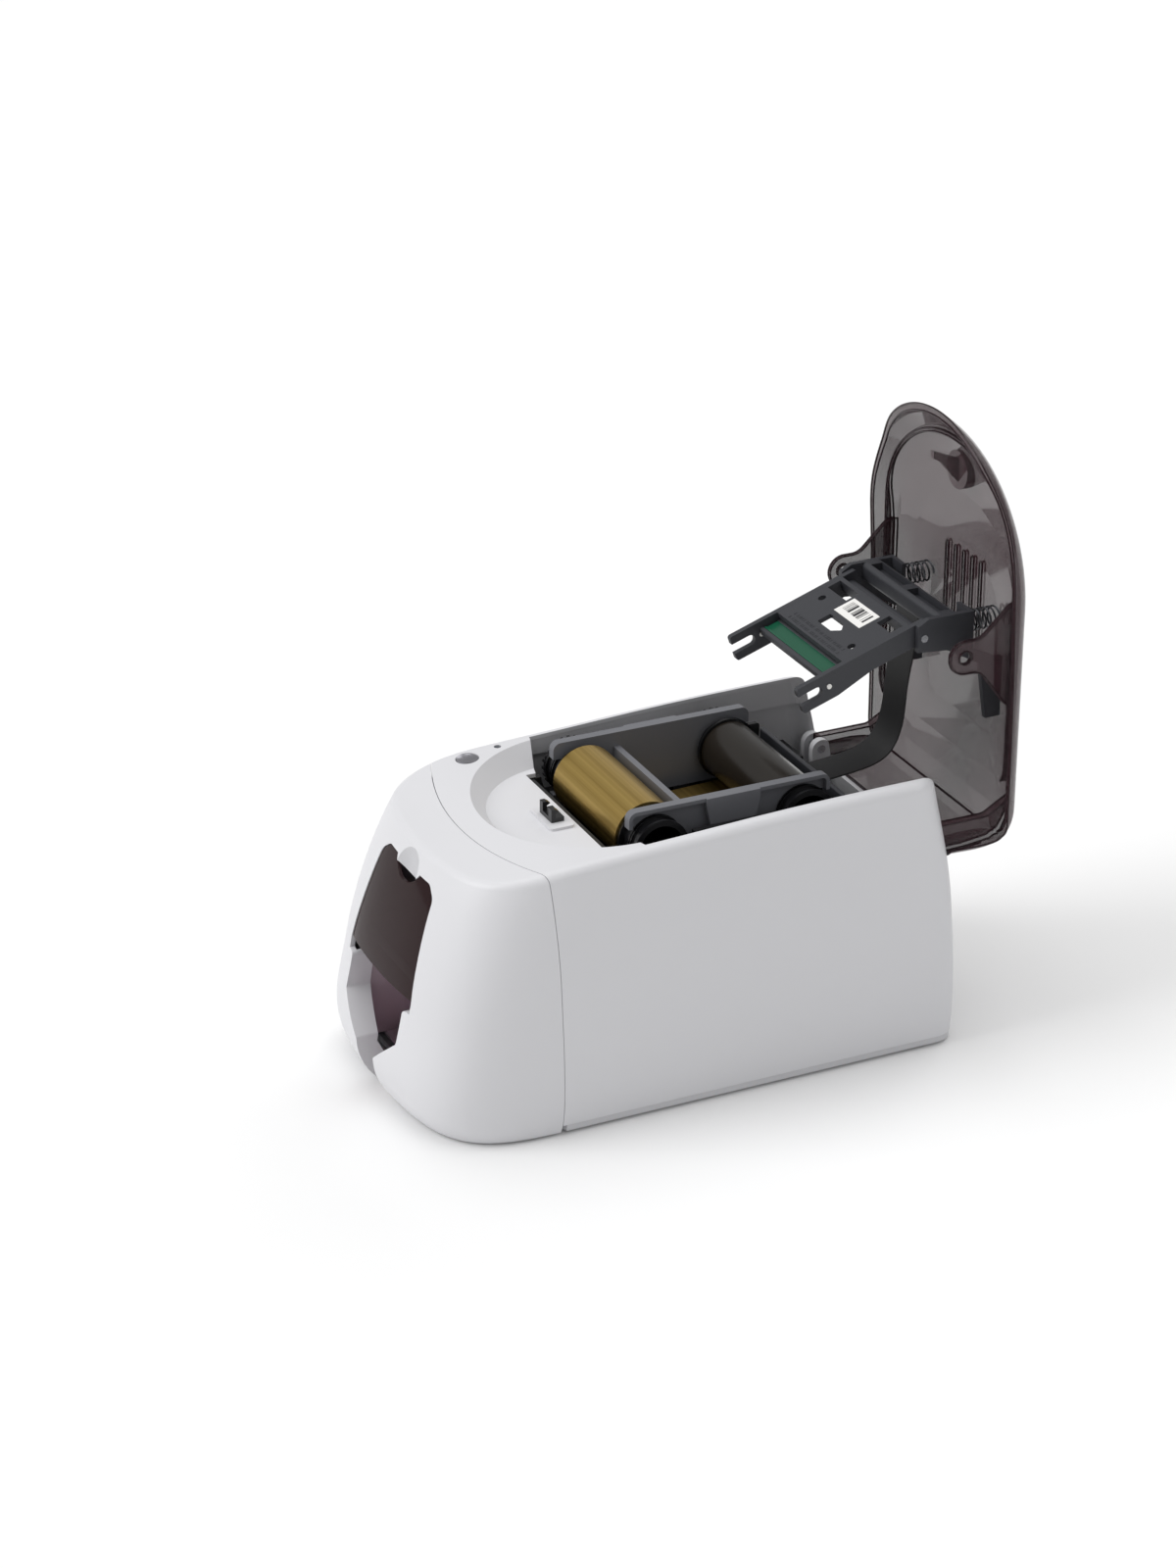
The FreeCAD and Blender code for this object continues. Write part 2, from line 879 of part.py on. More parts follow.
def rubber_feet():
    """Soft round feet under the base plate: one near each corner and one in the middle."""
    feet = [Part.makeCone(foot_radius - foot_height / 2, foot_radius, foot_height)]
    for x in (foot_inset_x - body_width / 2, body_width / 2 - foot_inset_x):
        for y in (foot_inset_front - body_length / 2, body_length / 2 - foot_inset_rear):
            foot = Part.makeCone(foot_radius - foot_height / 2, foot_radius, foot_height, V(x, y, 0))
            feet.append(foot)
    return group(feet)


def hopper_window():
    """Smoked hopper door that follows the front, with a thumb notch, side ears and pivot pins."""
    skin = body_form(window_recess).cut(body_form(window_recess + window_wall))
    skin = skin.common(plate(window_outline(fit_gap), "xz", -body_length, -seam_front))
    skin = skin.cut(rod("xz", 0, scoop_notch_height, scoop_notch + fit_gap, -body_length, 0))
    ear = plate([
        (door_pivot_y + door_ear_radius, door_pivot_z - door_ear_radius, door_ear_radius - overlap),
        (door_pivot_y + door_ear_radius, door_pivot_z + door_ear_radius, door_ear_radius - overlap),
        (door_pivot_y - door_ear_reach, door_pivot_z + door_ear_rise, 0),
        (door_pivot_y - door_ear_reach, door_pivot_z - door_ear_radius, 0),
    ], "yz", door_ear_half, door_ear_half + door_ear_width)
    ear = ear.common(body_form(window_recess + window_wall / 2))
    pin = rod("yz", door_pivot_y, door_pivot_z, door_pin_radius, door_ear_half, door_boss_far - seat_gap)
    hinge = ear.fuse(pin)
    return skin.fuse([hinge, mirrored(hinge)]).removeSplitter()


def hopper_chute():
    """Card well behind the door: back wall with a window, side cheeks, shelf and foot."""
    cheek = plate([
        (-chute_foot_front, chute_bottom, 0),
        (-chute_back + chute_wall, chute_bottom, 0),
        (-chute_back + chute_wall, chute_top, 0),
        (-chute_cheek_top, chute_top, 0),
        (-chute_cheek_front, chute_shelf, 0),
        (-chute_cheek_front, slot_top, 0),
        (-chute_foot_front, slot_top, 0),
    ], "yz", chute_half - chute_wall, chute_half)
    back = box(-chute_half, chute_half, -chute_back, chute_wall - chute_back, chute_bottom, chute_top)
    floor = box(-chute_half, chute_half, -chute_foot_front, -chute_back, chute_bottom, chute_bottom + chute_wall)
    shelf = box(-chute_half, chute_half, -chute_shelf_front, -chute_back, chute_shelf, chute_shelf + chute_wall)
    window = box(-chute_window_half, chute_window_half, -chute_back, chute_wall - chute_back,
                 chute_window_low, chute_window_high)
    exit_slot = box(-card_long / 2 - card_play, card_long / 2 + card_play, -body_length, 0,
                    card_exit_low, card_exit_high)
    chute = joined([back.cut(window), cheek, mirrored(cheek), floor, shelf])
    return chute.cut(exit_slot.common(box(
        -body_width, body_width, -chute_back - overlap, chute_wall, 0, body_height))).removeSplitter()


def printed_card():
    """Plastic card that leans against the back of the lower well."""
    card = plate(rectangle(-card_long / 2, card_long / 2, 0, card_short, card_corner), "xz", -card_thick, 0)
    lean = math.degrees(math.asin((-card_foot_y - chute_back - seat_gap) / card_short))
    card.rotate(V(0, 0, 0), V(1, 0, 0), -lean)
    card.translate(V(0, card_foot_y, chute_bottom + chute_wall + seat_gap))
    return card


def blank_cards():
    """Stack of blank cards that waits on the shelf behind the door."""
    low = chute_shelf + chute_wall + seat_gap
    back = -chute_back - seat_gap
    stack = plate(rectangle(
        -card_long / 2, card_long / 2, back - card_short, back, card_corner,
    ), "xy", low, low + card_thick * blank_card_count)
    return stack


def power_button():
    """Round dished push button with a guide stem."""
    cap = rod("xy", button_x, button_y, button_radius, button_top - button_height, button_top)
    ball = Part.makeSphere(button_dish_radius, V(
        button_x, button_y, button_top + button_dish_radius - button_dish_depth))
    stem = rod("xy", button_x, button_y, button_stem_radius,
               button_top - button_height - button_stem_length, button_top - button_height + overlap)
    return cap.cut(ball).fuse(stem).removeSplitter()


def status_light():
    """Light pipe that fills the lamp hole and ends in a shallow dome."""
    pipe = rod("xy", lamp_x, lamp_y, lamp_radius, lamp_bottom, lamp_top)
    ball = Part.makeSphere(lamp_dome, V(lamp_x, lamp_y, lamp_top - lamp_dome + lamp_proud))
    return pipe.common(ball).removeSplitter()


def latch_catch():
    """Two springy prongs on a foot that hold the lid's hook."""
    foot_low = bowl_floor + pad_height
    foot = box(pad_x - catch_width / 2, pad_x + catch_width / 2, catch_y, catch_y + catch_length,
               foot_low, foot_low + catch_wall)
    prong = plate([
        (catch_y, foot_low, 0),
        (catch_y + catch_length, foot_low, 0),
        (catch_y + catch_length, foot_low + catch_wall, 0),
        (catch_y + catch_wall, foot_low + catch_wall, 0),
        (catch_y + catch_wall, foot_low + catch_height - catch_wall, 0),
        (catch_y + catch_wall + catch_nose, foot_low + catch_height - catch_wall / 2, 0),
        (catch_y + catch_wall, foot_low + catch_height, 0),
        (catch_y, foot_low + catch_height, 0),
    ], "yz", pad_x + catch_gap, pad_x + catch_width / 2)
    other = prong.mirror(V(pad_x, 0, 0), V(1, 0, 0))
    return joined([foot, prong, other])


def lid_levels(inset):
    """Level outlines of the lid, drawn in by an inset and lowered by it towards the crown."""
    wires = []
    first = lid_level_shares[0][0]
    last = lid_level_shares[-1][0]
    for height, side, tip, rear in lid_level_shares:
        half = lid_half * (1 - side) - inset
        front = tip * lid_half - lid_tip + inset
        depth = (lid_tip + lid_round_start) * half / lid_half
        drop = inset * (height - first) / (last - first)
        wires.append(bow_outline(
            half, front, depth, circle_share, circle_share,
            lid_rear - rear * body_length - inset, lid_corner - inset, height * body_height - drop,
        ))
    return wires


def lid_form(inset, ruled=True):
    """Domed form of the lid, drawn in by an inset."""
    return Part.makeLoft(lid_levels(inset), True, ruled)


lid_inside = lid_form(lid_wall)
lid_seat = lid_form(lid_wall + seat_gap)


def opened(shape):
    """A piece of the closed lid turned open about the hinge."""
    turned = shape.copy()
    turned.rotate(V(0, hinge_y, hinge_z), V(1, 0, 0), -open_angle)
    return turned


def on_carrier(shape):
    """A piece of the head carrier moved from its flat drawing to the open lid."""
    turned = shape.copy()
    turned.rotate(V(0, 0, 0), V(1, 0, 0), 2 * open_angle - carrier_angle)
    turned.translate(V(0, pivot_y, pivot_z))
    return opened(turned)


def lid_ear():
    """Side lobe of the lid that hangs from the dome and ends in a round eye."""
    lobe = plate([
        (ear_front, body_height + overrun, 0),
        (ear_front, skirt_bottom, ear_root_bend),
        (ear_eye_y - ear_eye_radius, ear_eye_z + ear_eye_radius, ear_root_bend),
        (ear_eye_y - ear_eye_radius, ear_eye_z - ear_eye_radius, ear_eye_radius - overlap),
        (ear_eye_y + ear_eye_radius, ear_eye_z - ear_eye_radius, ear_eye_radius - overlap),
        (ear_eye_y + ear_eye_radius, ear_eye_z + ear_eye_radius, ear_root_bend),
        (ear_rear, skirt_bottom, ear_root_bend),
        (ear_rear, body_height + overrun, 0),
    ], "yz", ear_x - ear_wall / 2, ear_x + ear_wall / 2)
    return lobe.cut(rod("yz", ear_eye_y, ear_eye_z, ear_eye_bore, 0, body_width))


def lid_hinge_arm():
    """Arm from the lid's rear wall to the hinge eye."""
    low = hinge_arm_x
    arm = plate([
        (hinge_y - hinge_eye_radius, hinge_z - hinge_eye_radius, hinge_eye_radius - overlap),
        (hinge_y + hinge_eye_radius, hinge_z - hinge_eye_radius, hinge_eye_radius - overlap),
        (hinge_y + hinge_eye_radius, lid_rear_bottom, 0),
        (lid_rear, lid_rear_bottom, 0),
        (lid_rear, body_height + overrun, 0),
        (hinge_y - hinge_arm_root, body_height + overrun, 0),
        (hinge_y - hinge_eye_radius, body_height - hinge_eye_radius, hinge_eye_radius),
    ], "yz", low, low + hinge_arm_wall)
    return arm


def lid_shell():
    """Smoked lid: domed shell, inner skirt, side lobes, hinge arms and vent slots."""
    outer = lid_form(0, False)
    shell = outer.cut(lid_inside)
    over_rim = above_line(lid_edge_shares, body_length, body_height, 0, body_width)
    rear_wall = box(-body_width, body_width, lid_skirt_front, body_length, lid_rear_bottom, body_height + overrun)
    shell = shell.common(over_rim.fuse(rear_wall))
    depth = skirt_tip + lid_round_start
    skirt = Part.Face(bow_outline(
        skirt_half, -skirt_tip, depth, circle_share, circle_share, skirt_rear, lid_corner, skirt_bottom,
    )).extrude(V(0, 0, overrun))
    skirt = skirt.cut(Part.Face(bow_outline(
        skirt_half - skirt_wall, skirt_wall - skirt_tip, depth - skirt_wall, circle_share, circle_share,
        skirt_rear + skirt_wall, lid_corner, skirt_bottom - overrun,
    )).extrude(V(0, 0, overrun * 2)))
    inside = lid_form(lid_wall / 2)
    skirt = skirt.common(inside)
    ear = lid_ear().common(inside)
    arm = lid_hinge_arm().common(inside)
    lid = shell.fuse([skirt, ear, mirrored(ear), arm, mirrored(arm)])
    for i in range(vent_count):
        x = vent_middle_x + (i - (vent_count - 1) / 2) * vent_pitch
        lid = lid.cut(box(
            x - vent_width / 2, x + vent_width / 2, vent_middle_y - vent_length / 2,
            vent_middle_y + vent_length / 2, skirt_bottom, body_height + overrun, vent_width / 2 - overlap))
    bore = rod("yz", hinge_y, hinge_z, hinge_pin_radius + running_gap, -hinge_bore_end, hinge_bore_end)
    return opened(lid.cut(bore).removeSplitter())


def lid_latch_hook():
    """Round boss under the dome with a tapered hook blade."""
    rim = ring("xy", hook_x, hook_y, hook_disc_radius, hook_disc_bore, hook_disc_bottom, body_height + overrun)
    web = rod("xy", hook_x, hook_y, hook_disc_radius, hook_disc_bottom, hook_disc_bottom + hook_web)
    foot = catch_y + catch_length
    blade = plate([
        (hook_y - hook_root / 2, hook_disc_bottom + overlap, 0),
        (foot - hook_tip, hook_bottom, 0),
        (foot, hook_bottom, 0),
        (foot + hook_tip / 2, hook_bottom + hook_tip, 0),
        (hook_y + hook_root / 2, hook_disc_bottom + overlap, 0),
    ], "yz", hook_x - hook_wall / 2, hook_x + hook_wall / 2)
    return opened(rim.fuse([web, blade]).common(lid_seat).removeSplitter())


def hinge_pins():
    """Two steel pins between the housing's lugs and the lid's arms."""
    pins = []
    for side in (-1, 1):
        low = min(side * hinge_lug_inner, side * (hinge_lug_outer + hinge_lug_wall))
        length = hinge_lug_outer + hinge_lug_wall - hinge_lug_inner
        pins.append(rod("yz", hinge_y, hinge_z, hinge_pin_radius, low, low + length))
    return group(pins)


def head_beam():
    """Black beam between two side posts that carry the head and rise to the dome."""
    post = plate([
        (beam_front + hinge_eye_radius, pivot_z - carrier_face, post_outer - post_inner),
        (beam_front, pivot_z + pivot_pin_radius, post_outer - post_inner),
        (beam_front, post_shoulder, 0),
        (post_neck_y, post_shoulder, 0),
        (post_back_y, post_back_z, 0),
        (post_back_y, body_height + overrun, 0),
        (post_far_y, body_height + overrun, 0),
        (post_far_y, post_far_z, 0),
        (post_knee_y, post_knee_z, 0),
        (post_heel_y, post_heel_z, 0),
        (post_toe_y, pivot_z - carrier_face + pivot_pin_radius, 0),
    ], "yz", post_inner, post_outer)
    post = post.cut(rod("yz", pivot_y, pivot_z, pivot_pin_radius + running_gap, 0, body_width))
    ledge = box(spring_x - spring_radius - spring_wire_radius, post_inner + overlap,
                beam_front, spring_y + beam_pocket_depth,
                post_shoulder - spring_ledge_wall, post_shoulder)
    beam = box(-post_inner - overlap, post_inner + overlap, beam_front, beam_rear, beam_bottom, beam_top,
               beam_pocket_margin, "yz")
    for x in (-beam_pocket_x, beam_pocket_x):
        beam = beam.cut(box(
            x - beam_pocket_half, x + beam_pocket_half, beam_front - overlap, beam_front + beam_pocket_depth,
            beam_bottom + beam_pocket_margin, beam_top - beam_pocket_margin))
    frame = beam.fuse([post, mirrored(post), ledge, mirrored(ledge)])
    return opened(frame.common(lid_seat).removeSplitter())


def coil(x, y, low, high):
    """Round-wire compression spring as one unbroken tube."""
    pitch = (high - low) / spring_turns
    edges = []
    quarter = math.pi / 2
    steps = spring_turns * 4
    rise = (high - low - spring_wire_radius * 2) / steps
    for i in range(steps):
        places = []
        for part in (0, 0.5, 1):
            angle = (i + part) * quarter
            places.append(V(
                x + spring_radius * math.cos(angle),
                y + spring_radius * math.sin(angle),
                low + spring_wire_radius + (i + part) * rise,
            ))
        edges.append(Part.Arc(places[0], places[1], places[2]).toShape())
    path = Part.Wire(edges)
    start = edges[0].tangentAt(edges[0].FirstParameter)
    start.normalize()
    outward = V(1, 0, 0)
    upward = start.cross(outward)
    corners = []
    for i in range(spring_wire_sides + 1):
        angle = i * 2 * math.pi / spring_wire_sides
        offset = outward * (spring_wire_radius * math.cos(angle)) + upward * (spring_wire_radius * math.sin(angle))
        corners.append(V(x + spring_radius, y, low + spring_wire_radius) + offset)
    wire_section = Part.makePolygon(corners)
    print("least gap between turns", round(pitch - 2 * spring_wire_radius, 2))
    return path.makePipeShell([wire_section], True, False)


def carrier_springs():
    """Two coil springs between the beam's ledges and the dome."""
    high = lid_level_shares[-1][0] * body_height - lid_wall - spring_radius / 4
    near = coil(spring_x, spring_y, post_shoulder + seat_gap, high)
    far = coil(-spring_x, spring_y, post_shoulder + seat_gap, high)
    return group([opened(near), opened(far)])


def carrier_arms():
    """Side arms of the head carrier, each with a pivot bore and a slotted fork end."""
    arm = plate([
        (carrier_rear_radius, carrier_arm_bottom, carrier_wall_round),
        (carrier_rear_radius, carrier_face, carrier_wall_round),
        (-carrier_length, carrier_face, carrier_wall_round),
        (-carrier_length, fork_slot_half, 0),
        (-fork_slot_start, fork_slot_half, fork_slot_half - overlap),
        (-fork_slot_start, -fork_slot_half, fork_slot_half - overlap),
        (-carrier_length, -fork_slot_half, 0),
        (-carrier_length, -carrier_face, carrier_wall_round),
        (-fork_widen_start, -carrier_face, carrier_rear_radius),
        (carrier_rear_radius - carrier_length / 2, carrier_arm_bottom, carrier_rear_radius),
    ], "yz", carrier_half - carrier_arm_wall, carrier_half)
    arm = arm.cut(rod("yz", 0, 0, pivot_pin_radius + running_gap, 0, body_width))
    arm = arm.cut(rod("yz", -fork_pin_reach, 0, fork_pin_radius + running_gap, 0, body_width))
    return on_carrier(group([arm, mirrored(arm)]))


def head_carrier():
    """Black cross frame between the carrier's arms: slotted plate, pivot bar and nose."""
    inner = carrier_half - carrier_arm_wall - running_gap
    face = box(-inner, inner, -carrier_plate_end, -carrier_plate_start,
               carrier_face - carrier_plate_wall, carrier_face)
    for x0, x1 in (
        (-corner_window_outer, -corner_window_inner + corner_window_start),
        (corner_window_inner, corner_window_outer),
    ):
        face = face.cut(box(x0, x1, -corner_window_end, -corner_window_start, 0, body_height))
    keyhole = plate([
        (-keyhole_half, -keyhole_near, 1),
        (-keyhole_half, -keyhole_far, 1),
        (keyhole_half - keyhole_point, -keyhole_far, 1),
        (keyhole_half, (-keyhole_near - keyhole_far) / 2, 1),
        (keyhole_half - keyhole_point, -keyhole_near, 1),
    ], "xy", 0, body_height)
    face = face.cut(keyhole)
    for x, reach in ((-dowel_bore_x, dowel_bore_reach), (dowel_bore_x, keyhole_far)):
        face = face.cut(rod("xy", x, -reach, dowel_bore, 0, body_height))
    bar = rod("yz", 0, 0, pivot_bar_radius, -inner, inner)
    web = box(-inner, inner, -carrier_plate_start - carrier_plate_wall, -carrier_plate_start, 0, carrier_face)
    nose = plate([
        (-nose_end, 0, 0),
        (-nose_end, nose_top, 1),
        (-head_end - seat_gap, nose_top, 0),
        (-head_end - seat_gap, 0, 0),
    ], "yz", -inner, inner)
    shelf = box(-inner, inner, -carrier_plate_end, carrier_plate_wall - carrier_plate_end,
                nose_top, carrier_face)
    frame = face.fuse([bar, web, shelf]).removeSplitter()
    return on_carrier(group([frame, nose]))


def pivot_pins():
    """Short pins that join the carrier's arms to the beam's posts."""
    pins = []
    for side in (-1, 1):
        inner = carrier_half - carrier_arm_wall + seat_gap
        low = min(side * inner, side * post_outer)
        pins.append(rod("yz", pivot_y, pivot_z, pivot_pin_radius, low, low + post_outer - inner))
    return opened(group(pins))


def thermal_head():
    """Green ceramic strip of the print head with a raised heating line."""
    strip = box(-head_half, head_half, -head_end, -head_start, head_bottom, head_bottom + head_wall)
    line = box(-head_half, head_half, -head_end, head_wall / 2 - head_end,
               head_bottom + head_wall - overlap, nose_top)
    return on_carrier(strip.fuse(line).removeSplitter())


def head_backing():
    """Metal plate that carries the ceramic strip between the arms."""
    half = carrier_half - carrier_arm_wall - seat_gap
    back = box(-half, half, -head_end, -backing_start, head_bottom - head_wall, head_bottom - running_gap)
    rib = box(-half, half, -head_start, -backing_start, head_bottom - running_gap - overlap, backing_rib_top)
    pocket = box(-head_half, head_half, head_wall - head_start, -backing_start - head_wall,
                 head_bottom - running_gap, body_height)
    return on_carrier(back.fuse(rib.cut(pocket)).removeSplitter())


def head_label():
    """Plain white label on the carrier's plate."""
    return on_carrier(box(label_x0, label_x1, -label_end, -label_start,
                          carrier_face, carrier_face + label_wall))


def fork_pins():
    """White locating pins through the fork ends."""
    pins = []
    for side in (-1, 1):
        inner = carrier_half - carrier_arm_wall + seat_gap
        low = min(side * inner, side * (carrier_half + pin_proud))
        pins.append(rod("yz", -fork_pin_reach, 0, fork_pin_radius, low, low + carrier_half + pin_proud - inner))
    return on_carrier(group(pins))


def cartridge_plate():
    """Side plate of the cartridge with an open cradle at each end and rails round its edge."""
    rear = supply_y + spool_pitch
    low = supply_y - plate_end_reach
    high = rear + plate_end_reach
    bottom = spool_z - plate_half_height
    top = spool_z + plate_half_height
    web = box(plate_inner, plate_inner + plate_wall, low, high, bottom, top, hook_lip, "yz")
    stock = box(plate_inner, rail_outer, low, high, bottom, top, hook_lip, "yz")
    rails = stock.cut(box(
        plate_inner + plate_wall, body_width, low + rail_wall, high - rail_wall,
        bottom + rail_wall, top - rail_wall, hook_lip - rail_wall, "yz"))
    side = web.fuse(rails)
    cradle = core_radius + cradle_gap
    for y, mouth in ((supply_y, -body_width), (rear, body_width)):
        side = side.cut(rod("yz", y, spool_z, cradle, 0, body_width))
        side = side.cut(box(0, body_width, min(y, y + mouth), max(y, y + mouth),
                            spool_z - cradle + hook_lip, spool_z + cradle - hook_lip))
    tab = plate([
        (tab_y - tab_top_half, top, 0),
        (tab_y - tab_top_half, top - hook_lip, 0),
        (tab_y - tab_bottom_half, tab_bottom, 1),
        (tab_y + tab_bottom_half, tab_bottom, 1),
        (tab_y + tab_top_half, top - hook_lip, 0),
        (tab_y + tab_top_half, top, 0),
    ], "yz", plate_inner + plate_wall - overlap, tab_outer)
    foot = rod("yz", foot_eye_y, bottom, foot_eye_radius, plate_inner, plate_inner + plate_wall)
    return side.fuse([tab, foot])


def cartridge_frame():
    """Grey cartridge frame: two cradle plates, grip tabs and the cross bar between the spools."""
    side = cartridge_plate()
    bar = box(-plate_inner - overlap, plate_inner + overlap, cross_bar_y, cross_bar_y + cross_bar_thick,
              cross_bar_bottom, cross_bar_top)
    return side.fuse([mirrored(side), bar]).removeSplitter()


def spool_core(y):
    """Black spool core: tube with flanges, ribs, end collars and a toothed driving ring."""
    core = rod("yz", y, spool_z, core_radius, -core_half, core_half)
    parts = []
    for side in (-1, 1):
        for start, end, radius in (
            (roll_half, roll_half + flange_width, flange_radius),
            (collar_start, core_half, collar_radius),
        ):
            low = min(side * start, side * end)
            parts.append(rod("yz", y, spool_z, radius, low, low + end - start))
        for i in range(core_ring_count):
            start = core_ring_x + i * core_ring_pitch
            low = min(side * start, side * (start + core_ring_width))
            parts.append(rod("yz", y, spool_z, core_radius + core_ring_height, low, low + core_ring_width))
    end = -tooth_ring_start - tooth_ring_width
    parts.append(rod("yz", y, spool_z, tooth_root, end, -tooth_ring_start + overlap))
    for i in range(tooth_count):
        tooth = box(end, -tooth_ring_start, y - tooth_width / 2, y + tooth_width / 2,
                    spool_z + core_bore, spool_z + tooth_root + tooth_height)
        tooth.rotate(V(0, y, spool_z), V(1, 0, 0), i * 360 / tooth_count)
        parts.append(tooth)
    bore = rod("yz", y, spool_z, core_bore, end - overlap, core_half + overlap)
    return core.fuse(parts).cut(bore).removeSplitter()


def supply_core():
    """Core that carries the fresh ribbon."""
    return spool_core(supply_y)


def takeup_core():
    """Core that winds up the used ribbon."""
    return spool_core(supply_y + spool_pitch)


def ribbon_roll(y, radius):
    """Wound ribbon on a core."""
    return ring("yz", y, spool_z, radius, core_radius + running_gap, -roll_half + seat_gap, roll_half - seat_gap)


def supply_roll():
    """Gold roll of fresh ribbon."""
    return ribbon_roll(supply_y, roll_radius)


def takeup_roll():
    """Darker roll of used ribbon."""
    return ribbon_roll(supply_y + spool_pitch, takeup_roll_radius)


def ribbon_film():
    """Ribbon stretched from the bottom of one roll to the bottom of the other."""
    rear = supply_y + spool_pitch
    front_top = spool_z - roll_radius - film_gap
    rear_top = spool_z - takeup_roll_radius - film_gap
    return plate([
        (supply_y, front_top, 0),
        (rear, rear_top, 0),
        (rear, rear_top - film_wall, 0),
        (supply_y, front_top - film_wall, 0),
    ], "yz", -film_half, film_half)


def platen_place():
    """Axis of the platen along the length and height."""
    angle = math.radians(carrier_angle)
    return pivot_y + platen_reach * math.cos(angle), pivot_z - platen_reach * math.sin(angle)


def platen_roller():
    """Rubber platen sleeve under the print head."""
    y, z = platen_place()
    return ring("yz", y, z, platen_radius, platen_shaft_radius, -platen_half, platen_half)


def platen_shaft():
    """Steel platen shaft that ends in the drive pulley's seat."""
    y, z = platen_place()
    return rod("yz", y, z, platen_shaft_radius, -belt_near - belt_width - pulley_flange, chassis_inner + chassis_wall)


def drive_pulley(y, z, bore):
    """Flanged belt pulley on the far side."""
    inner = -belt_near - belt_width
    wheel = rod("yz", y, z, pulley_radius, inner, -belt_near)
    near = rod("yz", y, z, pulley_radius + belt_wall, -belt_near, pulley_flange - belt_near)
    far = rod("yz", y, z, pulley_radius + belt_wall, inner - pulley_flange, inner)
    hole = rod("yz", y, z, bore, -body_width, body_width)
    return wheel.fuse([near, far]).cut(hole).removeSplitter()


def platen_pulley():
    """Pulley on the platen shaft."""
    y, z = platen_place()
    return drive_pulley(y, z, platen_shaft_radius)


def motor_pulley():
    """Pulley on the feed motor's shaft."""
    return drive_pulley(feed_motor_y, feed_motor_z, motor_shaft_radius)


def drive_belt():
    """Flat loop belt round the motor pulley and the platen pulley."""
    y, z = platen_place()
    low = -belt_near - belt_width + seat_gap
    high = -belt_near - seat_gap
    run = math.hypot(y - feed_motor_y, z - feed_motor_z)
    inner = pulley_radius + running_gap
    outer = inner + belt_wall
    loop = box(low, high, -outer, run + outer, -outer, outer, outer - overlap, "yz")
    hole = box(low - overlap, high + overlap, -inner, run + inner, -inner, inner, inner - overlap, "yz")
    belt = loop.cut(hole)
    belt.rotate(V(0, 0, 0), V(1, 0, 0), math.degrees(math.atan2(z - feed_motor_z, y - feed_motor_y)))
    belt.translate(V(0, feed_motor_y, feed_motor_z))
    return belt


def motor(y, z, radius):
    """Round motor inside the far chassis plate, with a groove round its end."""
    wall = -chassis_inner + motor_gap
    body = rod("yz", y, z, radius, wall, wall + motor_length)
    groove = ring("yz", y, z, radius + overlap, radius - motor_gap,
                  wall + motor_length - motor_boss_radius, wall + motor_length - motor_boss_radius / 2)
    bore = rod("yz", y, z, motor_shaft_radius + running_gap, wall - overlap, wall + motor_shaft_depth)
    return body.cut(groove).cut(bore).removeSplitter()


def motor_shaft(y, z, end):
    """Shaft from a motor through the chassis plate to its wheel."""
    start = motor_shaft_depth - chassis_inner
    return rod("yz", y, z, motor_shaft_radius, end, start)


def feed_motor():
    """Motor that drives the platen belt."""
    return motor(feed_motor_y, feed_motor_z, motor_radius)


def feed_motor_shaft():
    """Shaft of the feed motor."""
    return motor_shaft(feed_motor_y, feed_motor_z, -belt_near - belt_width - pulley_flange)


def ribbon_motor():
    """Motor that drives the take-up spool."""
    return motor(supply_y + spool_pitch, drive_gear_z, ribbon_motor_radius)


def ribbon_motor_shaft():
    """Shaft of the ribbon motor."""
    return motor_shaft(supply_y + spool_pitch, drive_gear_z, -tooth_ring_start - tooth_ring_width)


def ribbon_gear():
    """Toothed gear under the take-up spool's driving ring."""
    y = supply_y + spool_pitch
    end = -tooth_ring_start - tooth_ring_width
    root = drive_gear_radius - tooth_height
    wheel = rod("yz", y, drive_gear_z, root, end, -tooth_ring_start)
    teeth = []
    for i in range(tooth_count):
        tooth = box(end, -tooth_ring_start, y - tooth_width / 2, y + tooth_width / 2,
                    drive_gear_z + root - tooth_height, drive_gear_z + drive_gear_radius)
        tooth.rotate(V(0, y, drive_gear_z), V(1, 0, 0), (i + 0.5) * 360 / tooth_count)
        teeth.append(tooth)
    hole = rod("yz", y, drive_gear_z, motor_shaft_radius, end - overlap, 0)
    return wheel.fuse(teeth).cut(hole).removeSplitter()


def feed_roller(y, z):
    """Steel roller shaft with two rubber sleeves in one piece."""
    end = chassis_inner + chassis_wall
    shaft = rod("yz", y, z, roller_shaft_radius, -end, end)
    sleeve = rod("yz", y, z, roller_radius, -roller_half, roller_half)
    return shaft.fuse(sleeve).removeSplitter()


def feed_rollers():
    """Lower feed rollers in front of and behind the platen."""
    z = card_plane - roller_radius
    return feed_roller(feed_front_y, z), feed_roller(feed_rear_y, z)


def front_feed_roller():
    """Lower roller that takes the card from the hopper."""
    return feed_rollers()[0]


def rear_feed_roller():
    """Lower roller behind the platen."""
    return feed_rollers()[1]


def front_pinch_roller():
    """Upper roller over the front feed roller."""
    return feed_roller(feed_front_y, card_plane + pinch_gap + roller_radius)


def rear_pinch_roller():
    """Upper roller over the rear feed roller."""
    return feed_roller(feed_rear_y, card_plane + pinch_gap + roller_radius)


